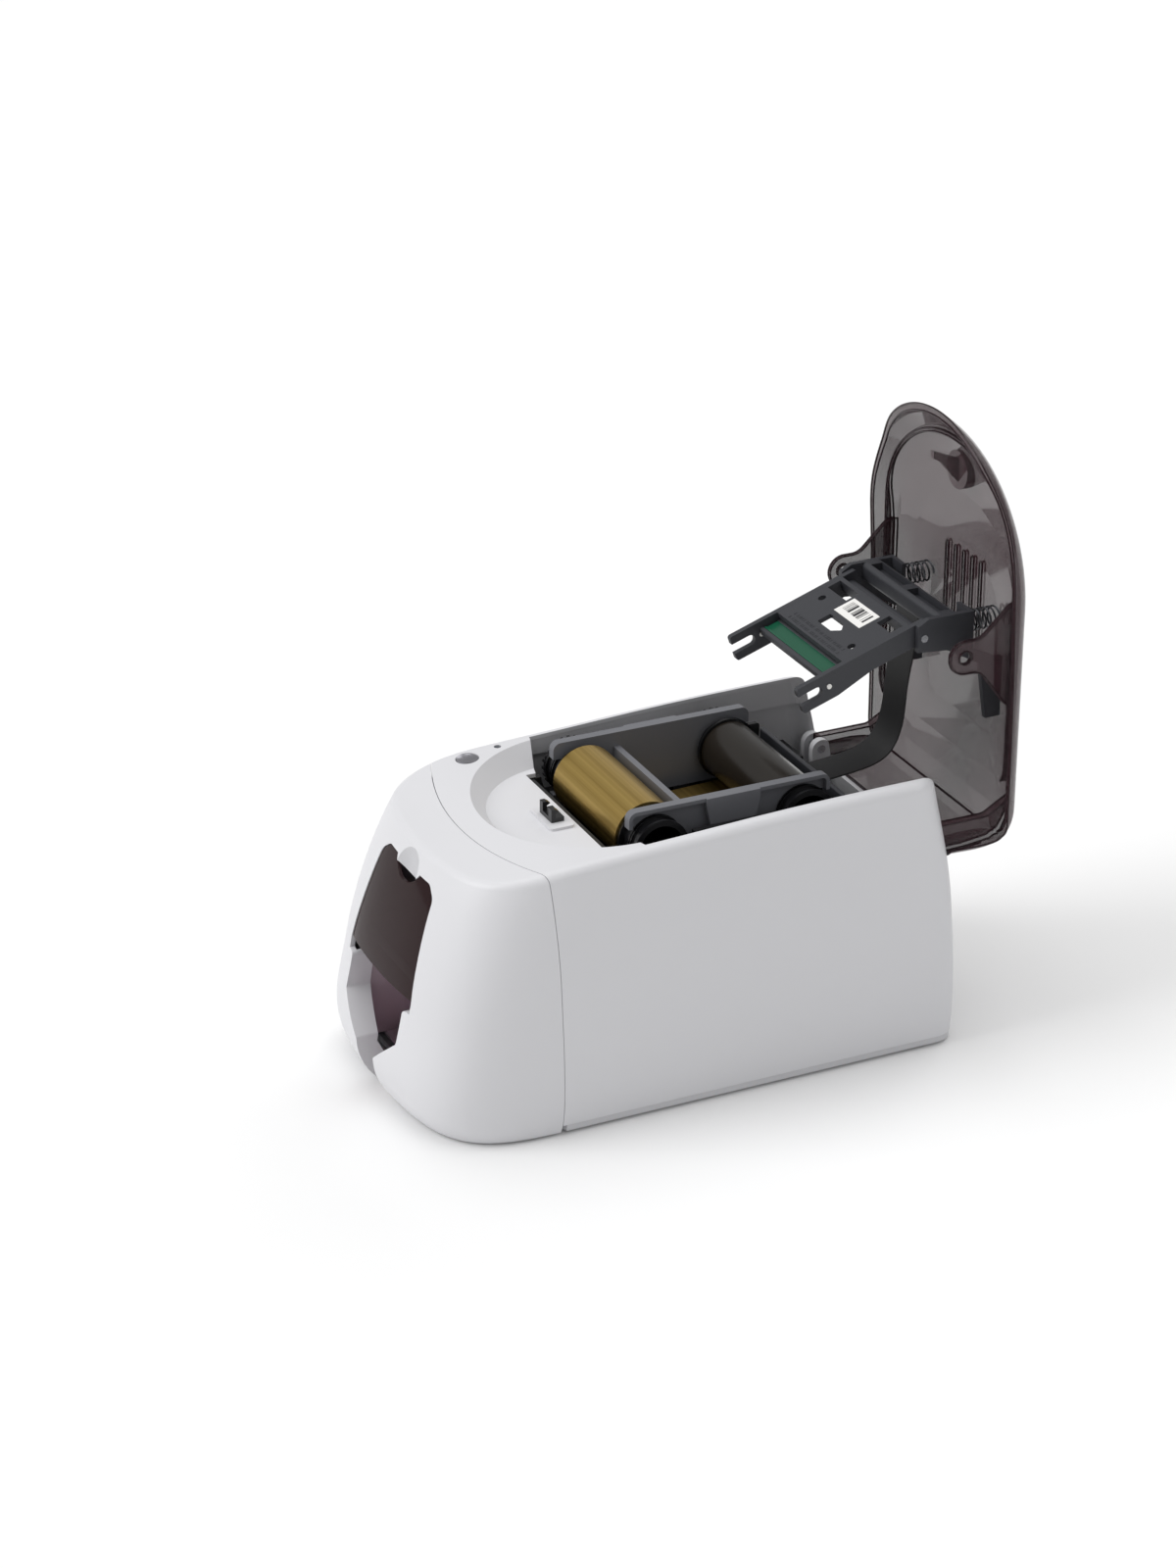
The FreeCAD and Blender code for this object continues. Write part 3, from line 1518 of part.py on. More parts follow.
def card_guide():
    """Ribbed guide plates under the card before and behind the platen, open over the feed rollers."""
    top = card_plane - guide_rise / 2
    half = chassis_inner - seat_gap
    guide = box(-half, half, guide_front, guide_rear, top - guide_wall, top)
    ribs = []
    for x in (-guide_half, -guide_half / 2, 0, guide_half / 2, guide_half):
        ribs.append(box(x - guide_wall / 2, x + guide_wall / 2, guide_front, guide_rear,
                        top - overlap, top + guide_rise / 2 - seat_gap))
    guide = guide.fuse(ribs)
    y, z = platen_place()
    for place, radius, half_opening in (
        (feed_front_y, roller_radius, roller_half), (feed_rear_y, roller_radius, roller_half),
        (y, platen_radius, platen_half),
    ):
        reach = radius + motor_gap
        wide = half_opening + motor_gap
        guide = guide.cut(box(-wide, wide, place - reach, place + reach, 0, body_height))
    reach = carrier_face + carrier_wall_round * 2
    guide = guide.cut(box(-body_width, body_width, y - reach, y + reach, 0, body_height))
    return guide.removeSplitter()


def chassis_bores():
    """Shaft bores through the chassis plates."""
    y, z = platen_place()
    low = card_plane - roller_radius
    high = card_plane + pinch_gap + roller_radius
    return [
        (y, z, platen_shaft_radius),
        (feed_front_y, low, roller_shaft_radius),
        (feed_front_y, high, roller_shaft_radius),
        (feed_rear_y, low, roller_shaft_radius),
        (feed_rear_y, high, roller_shaft_radius),
        (feed_motor_y, feed_motor_z, motor_shaft_radius),
        (supply_y + spool_pitch, drive_gear_z, motor_shaft_radius),
    ]


def chassis_plates():
    """Side plates of the bay, with wide mouths for the spools and bores for the shafts."""
    side = plate([
        (chassis_front, chassis_bottom, 0),
        (chassis_rear, chassis_bottom, 0),
        (chassis_rear, chassis_top, 2),
        (chassis_step_y, chassis_top, 2),
        (chassis_step_y, chassis_step_z, 0),
        (chassis_front, chassis_step_z, 0),
    ], "yz", chassis_inner, chassis_inner + chassis_wall)
    for y in (supply_y, supply_y + spool_pitch):
        side = side.cut(rod("yz", y, spool_z, spool_pass, 0, body_width))
        side = side.cut(box(0, body_width, y - spool_pass, y + spool_pass, spool_z, body_height))
    middle = supply_y + spool_pitch / 2
    side = side.cut(box(0, body_width, middle - window_margin, middle + window_margin,
                        window_low_z, window_high_z, window_margin / 4, "yz"))
    side = side.cut([
        rod("yz", y, z, radius + running_gap, 0, body_width) for y, z, radius in chassis_bores()
    ])
    return group([side.removeSplitter(), mirrored(side.removeSplitter())])


def cartridge_rests():
    """Four small blocks on the side plates that carry the ends of the cartridge."""
    top = spool_z - plate_half_height - seat_gap
    low = supply_y - plate_end_reach + hook_lip
    high = supply_y + spool_pitch - spool_pass - rest_length
    blocks = [
        box(plate_inner, chassis_inner, y, y + rest_length, top - rest_wall, top) for y in (low, high)
    ]
    return group(blocks + [mirrored(block) for block in blocks])


def print_chassis():
    """Black front wall, floor and rear tie between the bay's side plates."""
    inner = chassis_inner - running_gap
    front = box(-inner, inner, chassis_front, chassis_front + chassis_wall, chassis_floor, chassis_step_z)
    front = front.cut(box(-card_long / 2 - card_play, card_long / 2 + card_play, -body_length, 0,
                          card_exit_low, card_exit_high))
    floor = box(-inner, inner, chassis_front, chassis_rear, chassis_floor, chassis_floor + shelf_wall)
    tie = box(-inner, inner, chassis_rear - chassis_wall, chassis_rear, chassis_floor, card_exit_low - guide_step)
    return front.fuse([floor, tie]).removeSplitter()


def bay_shelves():
    """Black shelves between the chassis and the housing's walls."""
    low = chassis_inner + chassis_wall + seat_gap
    shelf = box(low, body_width, chassis_front, shelf_rear, shelf_z, shelf_z + shelf_wall)
    wall = box(low, low + shelf_wall, chassis_rear + seat_gap, shelf_rear, chassis_floor, shelf_z + overlap)
    inside = inner_form(body_wall + fit_gap)
    near = shelf.common(inside).fuse(wall)
    far = near.cut(box(0, tooth_ring_start + tooth_ring_width * 2, 0, chassis_rear, 0, body_height))
    return group([near.removeSplitter(), mirrored(far.removeSplitter())])


def bay_rear_plate():
    """Dark grey sloping plate behind the take-up spool."""
    low = chassis_rear + seat_gap
    return plate([
        (low, rear_plate_top, 1),
        (low, rear_plate_foot, 0),
        (low + rear_plate_wall, rear_plate_foot, 0),
        (low + rear_plate_wall, rear_plate_top - rear_plate_wall * 2, 0),
        (low + rear_plate_reach, rear_plate_foot, 0),
        (low + rear_plate_reach + rear_plate_wall, rear_plate_foot, 0),
        (low + rear_plate_wall, rear_plate_top, 1),
    ], "yz", -rear_plate_half, rear_plate_half)


def main_board():
    """Circuit board on the base ribs."""
    return box(-board_half, board_half, board_front, board_rear, board_bottom, board_bottom + board_wall, 2)


def board_parts():
    """Chips, capacitors and plugs that stand on the board."""
    top = board_bottom + board_wall + running_gap
    parts = []
    for x, y, half_x, half_y, height in board_blocks:
        parts.append(box(x - half_x, x + half_x, y - half_y, y + half_y, top, top + height))
    for x, y in board_cans:
        parts.append(rod("xy", x, y, board_can_radius, top, top + board_can_height))
    return group(parts)


def usb_port():
    """Square data port at the rear."""
    top = board_bottom + board_wall + running_gap
    shell = box(usb_x - usb_half, usb_x + usb_half, port_rear - usb_depth, port_rear,
                top, top + usb_height, usb_corner, "xz")
    hole = box(usb_x - usb_half + usb_wall, usb_x + usb_half - usb_wall, port_rear - usb_depth + usb_wall,
               port_rear + overrun, top + usb_wall, top + usb_height - usb_wall, usb_corner / 2, "xz")
    tongue = box(usb_x - usb_half / 2, usb_x + usb_half / 2, port_rear - usb_depth + usb_wall / 2,
                 port_rear - usb_wall, top + usb_height / 2 - usb_wall * 2, top + usb_height / 2 + usb_wall * 2)
    return shell.cut(hole).fuse(tongue).removeSplitter()


def power_inlet():
    """Round low-voltage power inlet at the rear, with its centre pin."""
    top = board_bottom + board_wall + running_gap
    shell = box(inlet_x - inlet_half, inlet_x + inlet_half, port_rear - inlet_depth, port_rear,
                top, top + inlet_height)
    middle = top + inlet_height / 2
    hole = rod("xz", inlet_x, middle, inlet_bore, port_rear - inlet_depth + usb_wall * 2, port_rear + overrun)
    pin = rod("xz", inlet_x, middle, usb_wall, port_rear - inlet_depth + usb_wall, port_rear - usb_wall)
    return shell.cut(hole).fuse(pin).removeSplitter()


def screw(x, y, z):
    """Pan-head screw head with a cross recess, standing on z."""
    head = Part.makeCone(screw_head_radius, screw_head_radius * screw_top_share, screw_head_height, V(x, y, z))
    top = z + screw_head_height
    long = screw_head_radius * screw_cross_share
    for dx, dy in ((long, screw_cross_width / 2), (screw_cross_width / 2, long)):
        head = head.cut(box(x - dx, x + dx, y - dy, y + dy, top - screw_cross_depth, top + overlap))
    return head


def chassis_screws():
    """Screws through the chassis floor."""
    z = chassis_floor + shelf_wall + running_gap
    screws = []
    for x in (-floor_screw_x, floor_screw_x):
        for y in (chassis_front + floor_screw_inset, chassis_rear - floor_screw_inset):
            screws.append(screw(x, y, z))
    return group(screws)


def head_cable():
    """Flat cable from the head carrier along the lid to the chassis."""
    places = [V(0, y, z) for y, z in cable_route]
    curve = Part.BSplineCurve()
    curve.interpolate(places)
    path = Part.Wire([curve.toShape()])
    start = places[0]
    ahead = curve.tangent(curve.FirstParameter)[0]
    across = V(1, 0, 0)
    up = across.cross(ahead).normalize() * (cable_wall / 2)
    side = across * cable_half
    corners = [start + side + up, start - side + up, start - side - up, start + side - up]
    section = Part.makePolygon(corners + corners[:1])
    tape = Part.BRepOffsetAPI.MakePipeShell(path)
    tape.setBiNormalMode(across)
    tape.add(section)
    tape.build()
    tape.makeSolid()
    return tape.shape()


NODES = {
    "front_cover": front_cover,
    "main_housing": main_housing,
    "base_plate": base_plate,
    "rubber_feet": rubber_feet,
    "hopper_window": hopper_window,
    "hopper_chute": hopper_chute,
    "printed_card": printed_card,
    "blank_cards": blank_cards,
    "power_button": power_button,
    "status_light": status_light,
    "latch_catch": latch_catch,
    "lid_shell": lid_shell,
    "lid_latch_hook": lid_latch_hook,
    "hinge_pins": hinge_pins,
    "head_beam": head_beam,
    "carrier_springs": carrier_springs,
    "head_carrier": head_carrier,
    "carrier_arms": carrier_arms,
    "pivot_pins": pivot_pins,
    "thermal_head": thermal_head,
    "head_backing": head_backing,
    "head_label": head_label,
    "fork_pins": fork_pins,
    "head_cable": head_cable,
    "cartridge_frame": cartridge_frame,
    "supply_core": supply_core,
    "takeup_core": takeup_core,
    "supply_roll": supply_roll,
    "takeup_roll": takeup_roll,
    "ribbon_film": ribbon_film,
    "platen_roller": platen_roller,
    "platen_shaft": platen_shaft,
    "platen_pulley": platen_pulley,
    "motor_pulley": motor_pulley,
    "drive_belt": drive_belt,
    "feed_motor": feed_motor,
    "feed_motor_shaft": feed_motor_shaft,
    "ribbon_motor": ribbon_motor,
    "ribbon_motor_shaft": ribbon_motor_shaft,
    "ribbon_gear": ribbon_gear,
    "front_feed_roller": front_feed_roller,
    "rear_feed_roller": rear_feed_roller,
    "front_pinch_roller": front_pinch_roller,
    "rear_pinch_roller": rear_pinch_roller,
    "card_guide": card_guide,
    "print_chassis": print_chassis,
    "chassis_plates": chassis_plates,
    "cartridge_rests": cartridge_rests,
    "bay_shelves": bay_shelves,
    "bay_rear_plate": bay_rear_plate,
    "main_board": main_board,
    "board_parts": board_parts,
    "usb_port": usb_port,
    "power_inlet": power_inlet,
    "chassis_screws": chassis_screws,
}

os.makedirs("parts", exist_ok=True)
for name, build in NODES.items():
    shape = build()
    shape.exportStep("parts/" + name + ".step")
    print(name, len(shape.Solids), "solids, valid:", shape.isValid())
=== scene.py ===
# %% [markdown]
# # ID card printer, lid open
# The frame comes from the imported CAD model. Everything here is in metres, in the frame's own axes:
# +Z up, -Y to the hopper at the front, +X to the long side that the camera sees.

# %% Frame
import bpy
import bmesh
import math
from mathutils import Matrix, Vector


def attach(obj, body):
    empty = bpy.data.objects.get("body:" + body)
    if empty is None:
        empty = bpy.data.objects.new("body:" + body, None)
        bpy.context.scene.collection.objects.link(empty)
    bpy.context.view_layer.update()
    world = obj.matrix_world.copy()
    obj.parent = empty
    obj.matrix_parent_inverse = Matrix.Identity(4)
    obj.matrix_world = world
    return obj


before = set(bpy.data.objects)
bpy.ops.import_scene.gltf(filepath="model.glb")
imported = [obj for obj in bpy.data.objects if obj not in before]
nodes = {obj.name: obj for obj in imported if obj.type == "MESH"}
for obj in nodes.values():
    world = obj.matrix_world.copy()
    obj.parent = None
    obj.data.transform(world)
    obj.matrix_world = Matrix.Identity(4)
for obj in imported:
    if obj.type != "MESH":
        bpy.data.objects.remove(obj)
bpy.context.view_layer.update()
mm = 0.001
print("frame nodes:", len(nodes))


def linked(name, data):
    """New object that holds the data, linked into the scene."""
    made = bpy.data.objects.new(name, data)
    bpy.context.collection.objects.link(made)
    return made


# %% [markdown]
# ## Camera, floor and light
# The camera stands where a fit on the body's corners puts it: 25.6 degrees above the horizon and
# 65 degrees round from the front, 2.5 m away. The floor is pale and the world is a dim white. One
# broad soft light stands overhead and one in front. The one behind and the one at the near side are
# weak, so the near side stays a shade darker than the deck.

# %% Camera
IMAGE_HEIGHT = 1600
FOCAL_PIXELS = 3783.0
SENSOR_HEIGHT = 36.0
CAMERA_PLACE = (1.94043, -0.93791, 1.21311)
AZIMUTH = math.radians(64.98)
ELEVATION = math.radians(25.56)
FAR_CLIP = 50.0

camera_data = bpy.data.cameras.new("photo_camera")
camera_data.sensor_fit = "VERTICAL"
camera_data.sensor_height = SENSOR_HEIGHT
camera_data.lens = FOCAL_PIXELS / IMAGE_HEIGHT * SENSOR_HEIGHT
camera_data.clip_end = FAR_CLIP
camera = linked("photo_camera", camera_data)
camera.location = CAMERA_PLACE
camera.rotation_euler = (math.pi / 2 - ELEVATION, 0.0, AZIMUTH)
bpy.context.scene.camera = camera
print("camera lens", round(camera_data.lens, 2), "mm")

# %% Floor, world and lights
WORLD_STRENGTH = 0.4
FLOOR_REACH = 6.0
FLOOR_CORNERS = [(-1, -1), (1, -1), (1, 1), (-1, 1)]
FLOOR_TONES = (0.90, 0.93)
FLOOR_ROUGHNESS = 0.7
SUN_DISTANCE = 3.0
SUNS = [
    # name, direction that the light comes from, strength, spread in degrees
    ("overhead", (-0.15, 0.05, 1.0), 1.1, 50),
    ("front_left", (-0.25, -1.0, 0.75), 1.45, 35),
    ("behind", (-0.6, 0.9, 0.8), 0.35, 35),
    ("near_side", (1.0, 0.25, 0.9), 0.25, 45),
]

finishes = {}
scene = bpy.context.scene
scene.view_settings.view_transform = "Standard"
scene.view_settings.look = "None"


def node(tree, kind, settings=None, links=None):
    """Adds a shader node of a kind with its settings and input links, and returns it."""
    made = tree.nodes.new("ShaderNode" + kind)
    for key, value in (settings or {}).items():
        if isinstance(key, int) or key in made.inputs:
            made.inputs[key].default_value = value
        else:
            setattr(made, key, value)
    for key, source in (links or {}).items():
        tree.links.new(source, made.inputs[key])
    return made


def linear(code):
    """Linear colour of an sRGB hex code."""
    values = [int(code[i:i + 2], 16) / 255 for i in (0, 2, 4)]
    return (*(v / 12.92 if v <= 0.04045 else ((v + 0.055) / 1.055) ** 2.4 for v in values), 1.0)


def shaded(name):
    """Keeps a new finish by name, and returns its tree, Principled shader and Object place."""
    material = bpy.data.materials.new(name)
    finishes[name] = material
    material.use_nodes = True
    tree = material.node_tree
    tree.nodes.clear()
    output = node(tree, "OutputMaterial")
    shader = node(tree, "BsdfPrincipled")
    tree.links.new(shader.outputs["BSDF"], output.inputs["Surface"])
    place = node(tree, "TexCoord").outputs["Object"]
    return tree, shader, place


world = bpy.data.worlds.new("soft_room")
world.use_nodes = True
background = world.node_tree.nodes["Background"]
background.inputs["Color"].default_value = (1.0, 1.0, 1.0, 1.0)
background.inputs["Strength"].default_value = WORLD_STRENGTH
scene.world = world

mesh = bpy.data.meshes.new("floor")
corners = [(x * FLOOR_REACH, y * FLOOR_REACH, 0.0) for x, y in FLOOR_CORNERS]
mesh.from_pydata(corners, [], [range(len(corners))])
floor = linked("floor", mesh)
tree, shader, place = shaded("pale_floor")
cloud = node(tree, "TexNoise", {"Scale": 3.0, "Detail": 2.0}, {"Vector": place})
grey = node(tree, "MapRange", {"To Min": FLOOR_TONES[0], "To Max": FLOOR_TONES[1]},
            {"Value": cloud.outputs["Fac"]}).outputs[0]
pale = node(tree, "CombineColor", {}, {"Red": grey, "Green": grey, "Blue": grey})
tree.links.new(pale.outputs["Color"], shader.inputs["Base Color"])
shader.inputs["Roughness"].default_value = FLOOR_ROUGHNESS
floor.data.materials.append(finishes["pale_floor"])

for name, toward, strength, spread in SUNS:
    data = bpy.data.lights.new(name, "SUN")
    data.energy = strength
    data.angle = math.radians(spread)
    sun = linked(name, data)
    sun.location = Vector(toward).normalized() * SUN_DISTANCE
    sun.rotation_euler = Vector(toward).to_track_quat("Z", "Y").to_euler()
print("lights:", len(SUNS))

# %% [markdown]
# ## Materials
# Each finish is a node tree on Object coordinates. The grain of a moulded surface is given in
# grains per millimetre, and its depth in millimetres. It is too fine to show one by one at the
# photo's distance, and softens the highlights instead. A slow drift of about 70 mm keeps broad
# faces from looking painted.

# %% Plastic finishes
COLOUR_A, COLOUR_B, COLOUR_OUT = 6, 7, 2    # a Mix node's colour sockets
DRIFT_WIDTH = 1 / 14                        # metres from one soft patch of tone to the next
PLASTICS = [
    # name, colour, roughness, grains per mm, grain depth in mm, drift of roughness, drift of tone
    ("satin_white", "D6D6D9", 0.42, 9.0, 0.02, 0.05, 0.01),      # moulded ABS: broad soft highlight
    ("base_white", "CBCBCE", 0.50, 9.0, 0.02, 0.05, 0.01),       # the same, duller and darker
    # The chute's liner is white plastic. Its lilac colour is the smoked door's tinted shade, painted
    # in.
    ("chute_white_in_door_shade", "A79BA1", 0.40, 9.0, 0.02, 0.05, 0.02),      # white liner in tinted light
    ("grained_black", "1B1B1D", 0.52, 5.0, 0.04, 0.08, 0.10),    # black ABS: deep and not glossy
    ("frame_black", "303136", 0.55, 4.2, 0.05, 0.07, 0.08),      # glass-filled nylon: greyish
    ("dark_grey", "3A3B40", 0.50, 6.0, 0.03, 0.06, 0.06),        # grey ABS, half matt
    ("cartridge_grey", "6C6D72", 0.38, 8.0, 0.02, 0.05, 0.04),   # polystyrene: a little waxy
    ("gloss_black", "101012", 0.22, 9.0, 0.01, 0.06, 0.08),      # polished mould: sharp highlights
    ("soft_rubber", "2B2B2D", 0.75, 3.0, 0.05, 0.05, 0.08),      # rubber: nearly no highlight
    ("platen_rubber", "19191A", 0.68, 5.0, 0.03, 0.05, 0.08),    # ground rubber: dark and even
    ("nylon_white", "E9E8E4", 0.40, 9.0, 0.02, 0.05, 0.03),      # acetal: warm white, slight gloss
    ("card_white", "F3F3F5", 0.18, 9.0, 0.01, 0.03, 0.01),       # laminated PVC: bright and glossy
    ("cable_black", "151517", 0.60, 2.5, 0.04, 0.06, 0.10),      # PVC tape: dull black
    ("used_film", "1D1812", 0.25, 0.6, 0.02, 0.08, 0.20),        # wound dark film: streaked
    ("green_ceramic", "14513A", 0.22, 2.0, 0.01, 0.05, 0.12),    # glazed strip: green, glossy
    ("board_green", "12552F", 0.35, 1.5, 0.02, 0.05, 0.15),      # lacquered board: green, uneven
]

for name, code, rough, grains, depth, spread, drift in PLASTICS:
    tree, shader, place = shaded(name)
    colour = linear(code)[:3]
    fine = node(tree, "TexNoise", {"Scale": grains / mm, "Detail": 2.0}, {"Vector": place})
    slow = node(tree, "TexNoise", {"Scale": 1 / DRIFT_WIDTH, "Detail": 3.0}, {"Vector": place})
    tone = node(tree, "Mix",
                {"data_type": "RGBA", COLOUR_A: (*(c * (1 - drift) for c in colour), 1.0),
                 COLOUR_B: (*(min(1.0, c * (1 + drift)) for c in colour), 1.0)},
                {"Factor": slow.outputs["Fac"]})
    roughness = node(tree, "MapRange", {"To Min": rough - spread, "To Max": rough + spread},
                     {"Value": slow.outputs["Fac"]})
    bump = node(tree, "Bump", {"Distance": depth * mm, "Strength": 0.6},
                {"Height": fine.outputs["Fac"]})
    tree.links.new(tone.outputs[COLOUR_OUT], shader.inputs["Base Color"])
    tree.links.new(roughness.outputs[0], shader.inputs["Roughness"])
    tree.links.new(bump.outputs["Normal"], shader.inputs["Normal"])
print("plastic finishes:", len(PLASTICS))

# %% Clear, metal and printed finishes
CLEARS = [
    # name, colour, density seen face-on, density seen edge-on, reflection
    ("smoked_lid", "3F282E", 0.53, 0.98, 0.5),      # smoked polycarbonate: brown-violet, half clear
    ("smoked_edge", "2A1A1F", 0.80, 0.95, 0.3),     # its edges, seen end-on: almost black
    ("smoked_door", "2C1D1E", 0.80, 0.98, 0.1),     # the thicker tint of the hopper door
    ("lamp_clear", "5B5E66", 0.70, 0.95, 0.5),      # lamp lens, unlit: cloudy grey
]
METALS = [
    # name, colour, roughness, grains per mm along each axis, grain depth in mm
    ("steel", "B9BBBF", 0.28, (4.0, 0.06, 4.0), 0.02),            # drawn or turned steel
    ("dull_metal", "7E8085", 0.42, (4.0, 0.06, 4.0), 0.02),       # zinc-plated sheet, greyer
    ("dark_wire", "55565A", 0.34, (4.0, 0.06, 4.0), 0.02),        # oiled spring wire
    ("polished_button", "A9A8AE", 0.22, (0.3, 0.3, 0.3), 0.01),   # satin plating, no lines
]
GOLD_TONES = ("9A7A3A", "D9BC72")
GOLD_BANDS = (0.001, 0.4, 0.4)          # bands per mm along each axis
CARD_INKS = {0.0: "B01030", 0.45: "CDA3C0", 1.0: "E9D5E4"}
CARD_PRINT = (18 * mm, 46 * mm)         # heights between which the inks change

for name, code, face, edge, shine in CLEARS:
    # Clear plastic looks denser where it is seen edge-on.
    tree, shader, place = shaded(name)
    slow = node(tree, "TexNoise", {"Scale": 9.0, "Detail": 2.0}, {"Vector": place})
    rough = node(tree, "MapRange", {"To Min": 0.05, "To Max": 0.11},
                 {"Value": slow.outputs["Fac"]})
    rim = node(tree, "LayerWeight", {"Blend": 0.35})
    dense = node(tree, "MapRange", {"To Min": face, "To Max": edge},
                 {"Value": rim.outputs["Facing"]})
    shader.inputs["Base Color"].default_value = linear(code)
    shader.inputs["Specular IOR Level"].default_value = shine
    tree.links.new(rough.outputs[0], shader.inputs["Roughness"])
    tree.links.new(dense.outputs[0], shader.inputs["Alpha"])

for name, code, rough, grains, depth in METALS:
    tree, shader, place = shaded(name)
    lines = node(tree, "Mapping", {"Scale": [g / mm for g in grains]}, {"Vector": place})
    grain = node(tree, "TexNoise", {"Scale": 1.0, "Detail": 3.0},
                 {"Vector": lines.outputs["Vector"]})
    spread = node(tree, "MapRange", {"To Min": rough - 0.08, "To Max": rough + 0.08},
                  {"Value": grain.outputs["Fac"]})
    bump = node(tree, "Bump", {"Distance": depth * mm, "Strength": 0.5},
                {"Height": grain.outputs["Fac"]})
    shader.inputs["Base Color"].default_value = linear(code)
    shader.inputs["Metallic"].default_value = 1.0
    tree.links.new(spread.outputs[0], shader.inputs["Roughness"])
    tree.links.new(bump.outputs["Normal"], shader.inputs["Normal"])

# The gold film is wound in layers that shift a little, which shows as bands round the roll.
tree, shader, place = shaded("gold_film")
bands = node(tree, "Mapping", {"Scale": [b / mm for b in GOLD_BANDS]}, {"Vector": place})
wave = node(tree, "TexNoise", {"Scale": 1.0, "Detail": 4.0}, {"Vector": bands.outputs["Vector"]})
tone = node(tree, "Mix",
            {"data_type": "RGBA", COLOUR_A: linear(GOLD_TONES[0]), COLOUR_B: linear(GOLD_TONES[1])},
            {"Factor": wave.outputs["Fac"]})
rough = node(tree, "MapRange", {"To Min": 0.26, "To Max": 0.40}, {"Value": wave.outputs["Fac"]})
bump = node(tree, "Bump", {"Distance": 0.03 * mm, "Strength": 0.4},
            {"Height": wave.outputs["Fac"]})
tree.links.new(tone.outputs[COLOUR_OUT], shader.inputs["Base Color"])
tree.links.new(rough.outputs[0], shader.inputs["Roughness"])
tree.links.new(bump.outputs["Normal"], shader.inputs["Normal"])
shader.inputs["Metallic"].default_value = 1.0

# The printed card runs from magenta at its foot to a pale violet, with soft edges between the inks.
tree, shader, place = shaded("printed_plastic")
height = node(tree, "SeparateXYZ", {}, {"Vector": place}).outputs["Z"]
drift = node(tree, "TexNoise", {"Scale": 60.0, "Detail": 2.0}, {"Vector": place})
level = node(tree, "MapRange", {"From Min": CARD_PRINT[0], "From Max": CARD_PRINT[1]},
             {"Value": height})
mixed = node(tree, "Math", {"operation": "MULTIPLY_ADD", 1: 0.12},
             {0: drift.outputs["Fac"], 2: level.outputs[0]})
inks = node(tree, "ValToRGB", {}, {"Fac": mixed.outputs[0]})
first, middle, last = CARD_INKS
inks.color_ramp.elements[0].color = linear(CARD_INKS[first])
inks.color_ramp.elements[1].color = linear(CARD_INKS[last])
inks.color_ramp.elements.new(middle).color = linear(CARD_INKS[middle])
tree.links.new(inks.outputs["Color"], shader.inputs["Base Color"])
gloss = node(tree, "MapRange", {"To Min": 0.14, "To Max": 0.22}, {"Value": drift.outputs["Fac"]})
tree.links.new(gloss.outputs[0], shader.inputs["Roughness"])
print("clear finishes:", len(CLEARS), "metals:", len(METALS))

# %% [markdown]
# The label on the print head carries plain bars of uneven width across its lower part. The bars
# come from noise on whole steps of half a millimetre. The carrier stands at 71 degrees on its
# pivot, so a dot product with its direction gives the distance from the pivot.

# %% Label paper
CARRIER_ANGLE = math.radians(71.0)
CARRIER_PIVOT = Vector((0.0, 181.0, 272.0)) * mm
CARRIER_ALONG = Vector((0.0, -math.sin(CARRIER_ANGLE), -math.cos(CARRIER_ANGLE)))
CARRIER_UP = Vector((0.0, -math.cos(CARRIER_ANGLE), math.sin(CARRIER_ANGLE)))
PAPER, BAR_INK = "ECEBE8", "2A2A2C"
BAR_STEP = 0.5 * mm
BARE_SHARE = 0.45
BARS_ACROSS = (3.0 * mm, 14.0 * mm)    # middle and half width
BARS_ALONG = (19.0 * mm, 4.4 * mm)     # middle and half length, from the pivot

tree, shader, place = shaded("label_paper")
across = node(tree, "SeparateXYZ", {}, {"Vector": place}).outputs["X"]
along = node(tree, "VectorMath", {"operation": "DOT_PRODUCT", 1: CARRIER_ALONG},
             {0: place}).outputs["Value"]
steps = node(tree, "Math", {"operation": "MULTIPLY", 1: 1 / BAR_STEP}, {0: across})
whole = node(tree, "Math", {"operation": "FLOOR"}, {0: steps.outputs[0]})
noise = node(tree, "TexWhiteNoise", {"noise_dimensions": "1D"}, {"W": whole.outputs[0]})
bars = node(tree, "Math", {"operation": "GREATER_THAN", 1: BARE_SHARE},
            {0: noise.outputs["Value"]})
pivot_along = CARRIER_ALONG.dot(CARRIER_PIVOT)
inked = bars
for value, middle, half in ((across, *BARS_ACROSS),
                            (along, pivot_along + BARS_ALONG[0], BARS_ALONG[1])):
    inside = node(tree, "Math", {"operation": "COMPARE", 1: middle, 2: half}, {0: value})
    inked = node(tree, "Math", {"operation": "MULTIPLY"},
                 {0: inked.outputs[0], 1: inside.outputs[0]})
tone = node(tree, "Mix", {"data_type": "RGBA", COLOUR_A: linear(PAPER), COLOUR_B: linear(BAR_INK)},
            {"Factor": inked.outputs[0]})
tree.links.new(tone.outputs[COLOUR_OUT], shader.inputs["Base Color"])
fibre = node(tree, "TexNoise", {"Scale": 4000.0, "Detail": 2.0}, {"Vector": place})
rough = node(tree, "MapRange", {"To Min": 0.45, "To Max": 0.6}, {"Value": fibre.outputs["Fac"]})
tree.links.new(rough.outputs[0], shader.inputs["Roughness"])
print("label bars at steps of", BAR_STEP / mm, "mm")

# %% [markdown]
# ## Finishes on the CAD nodes

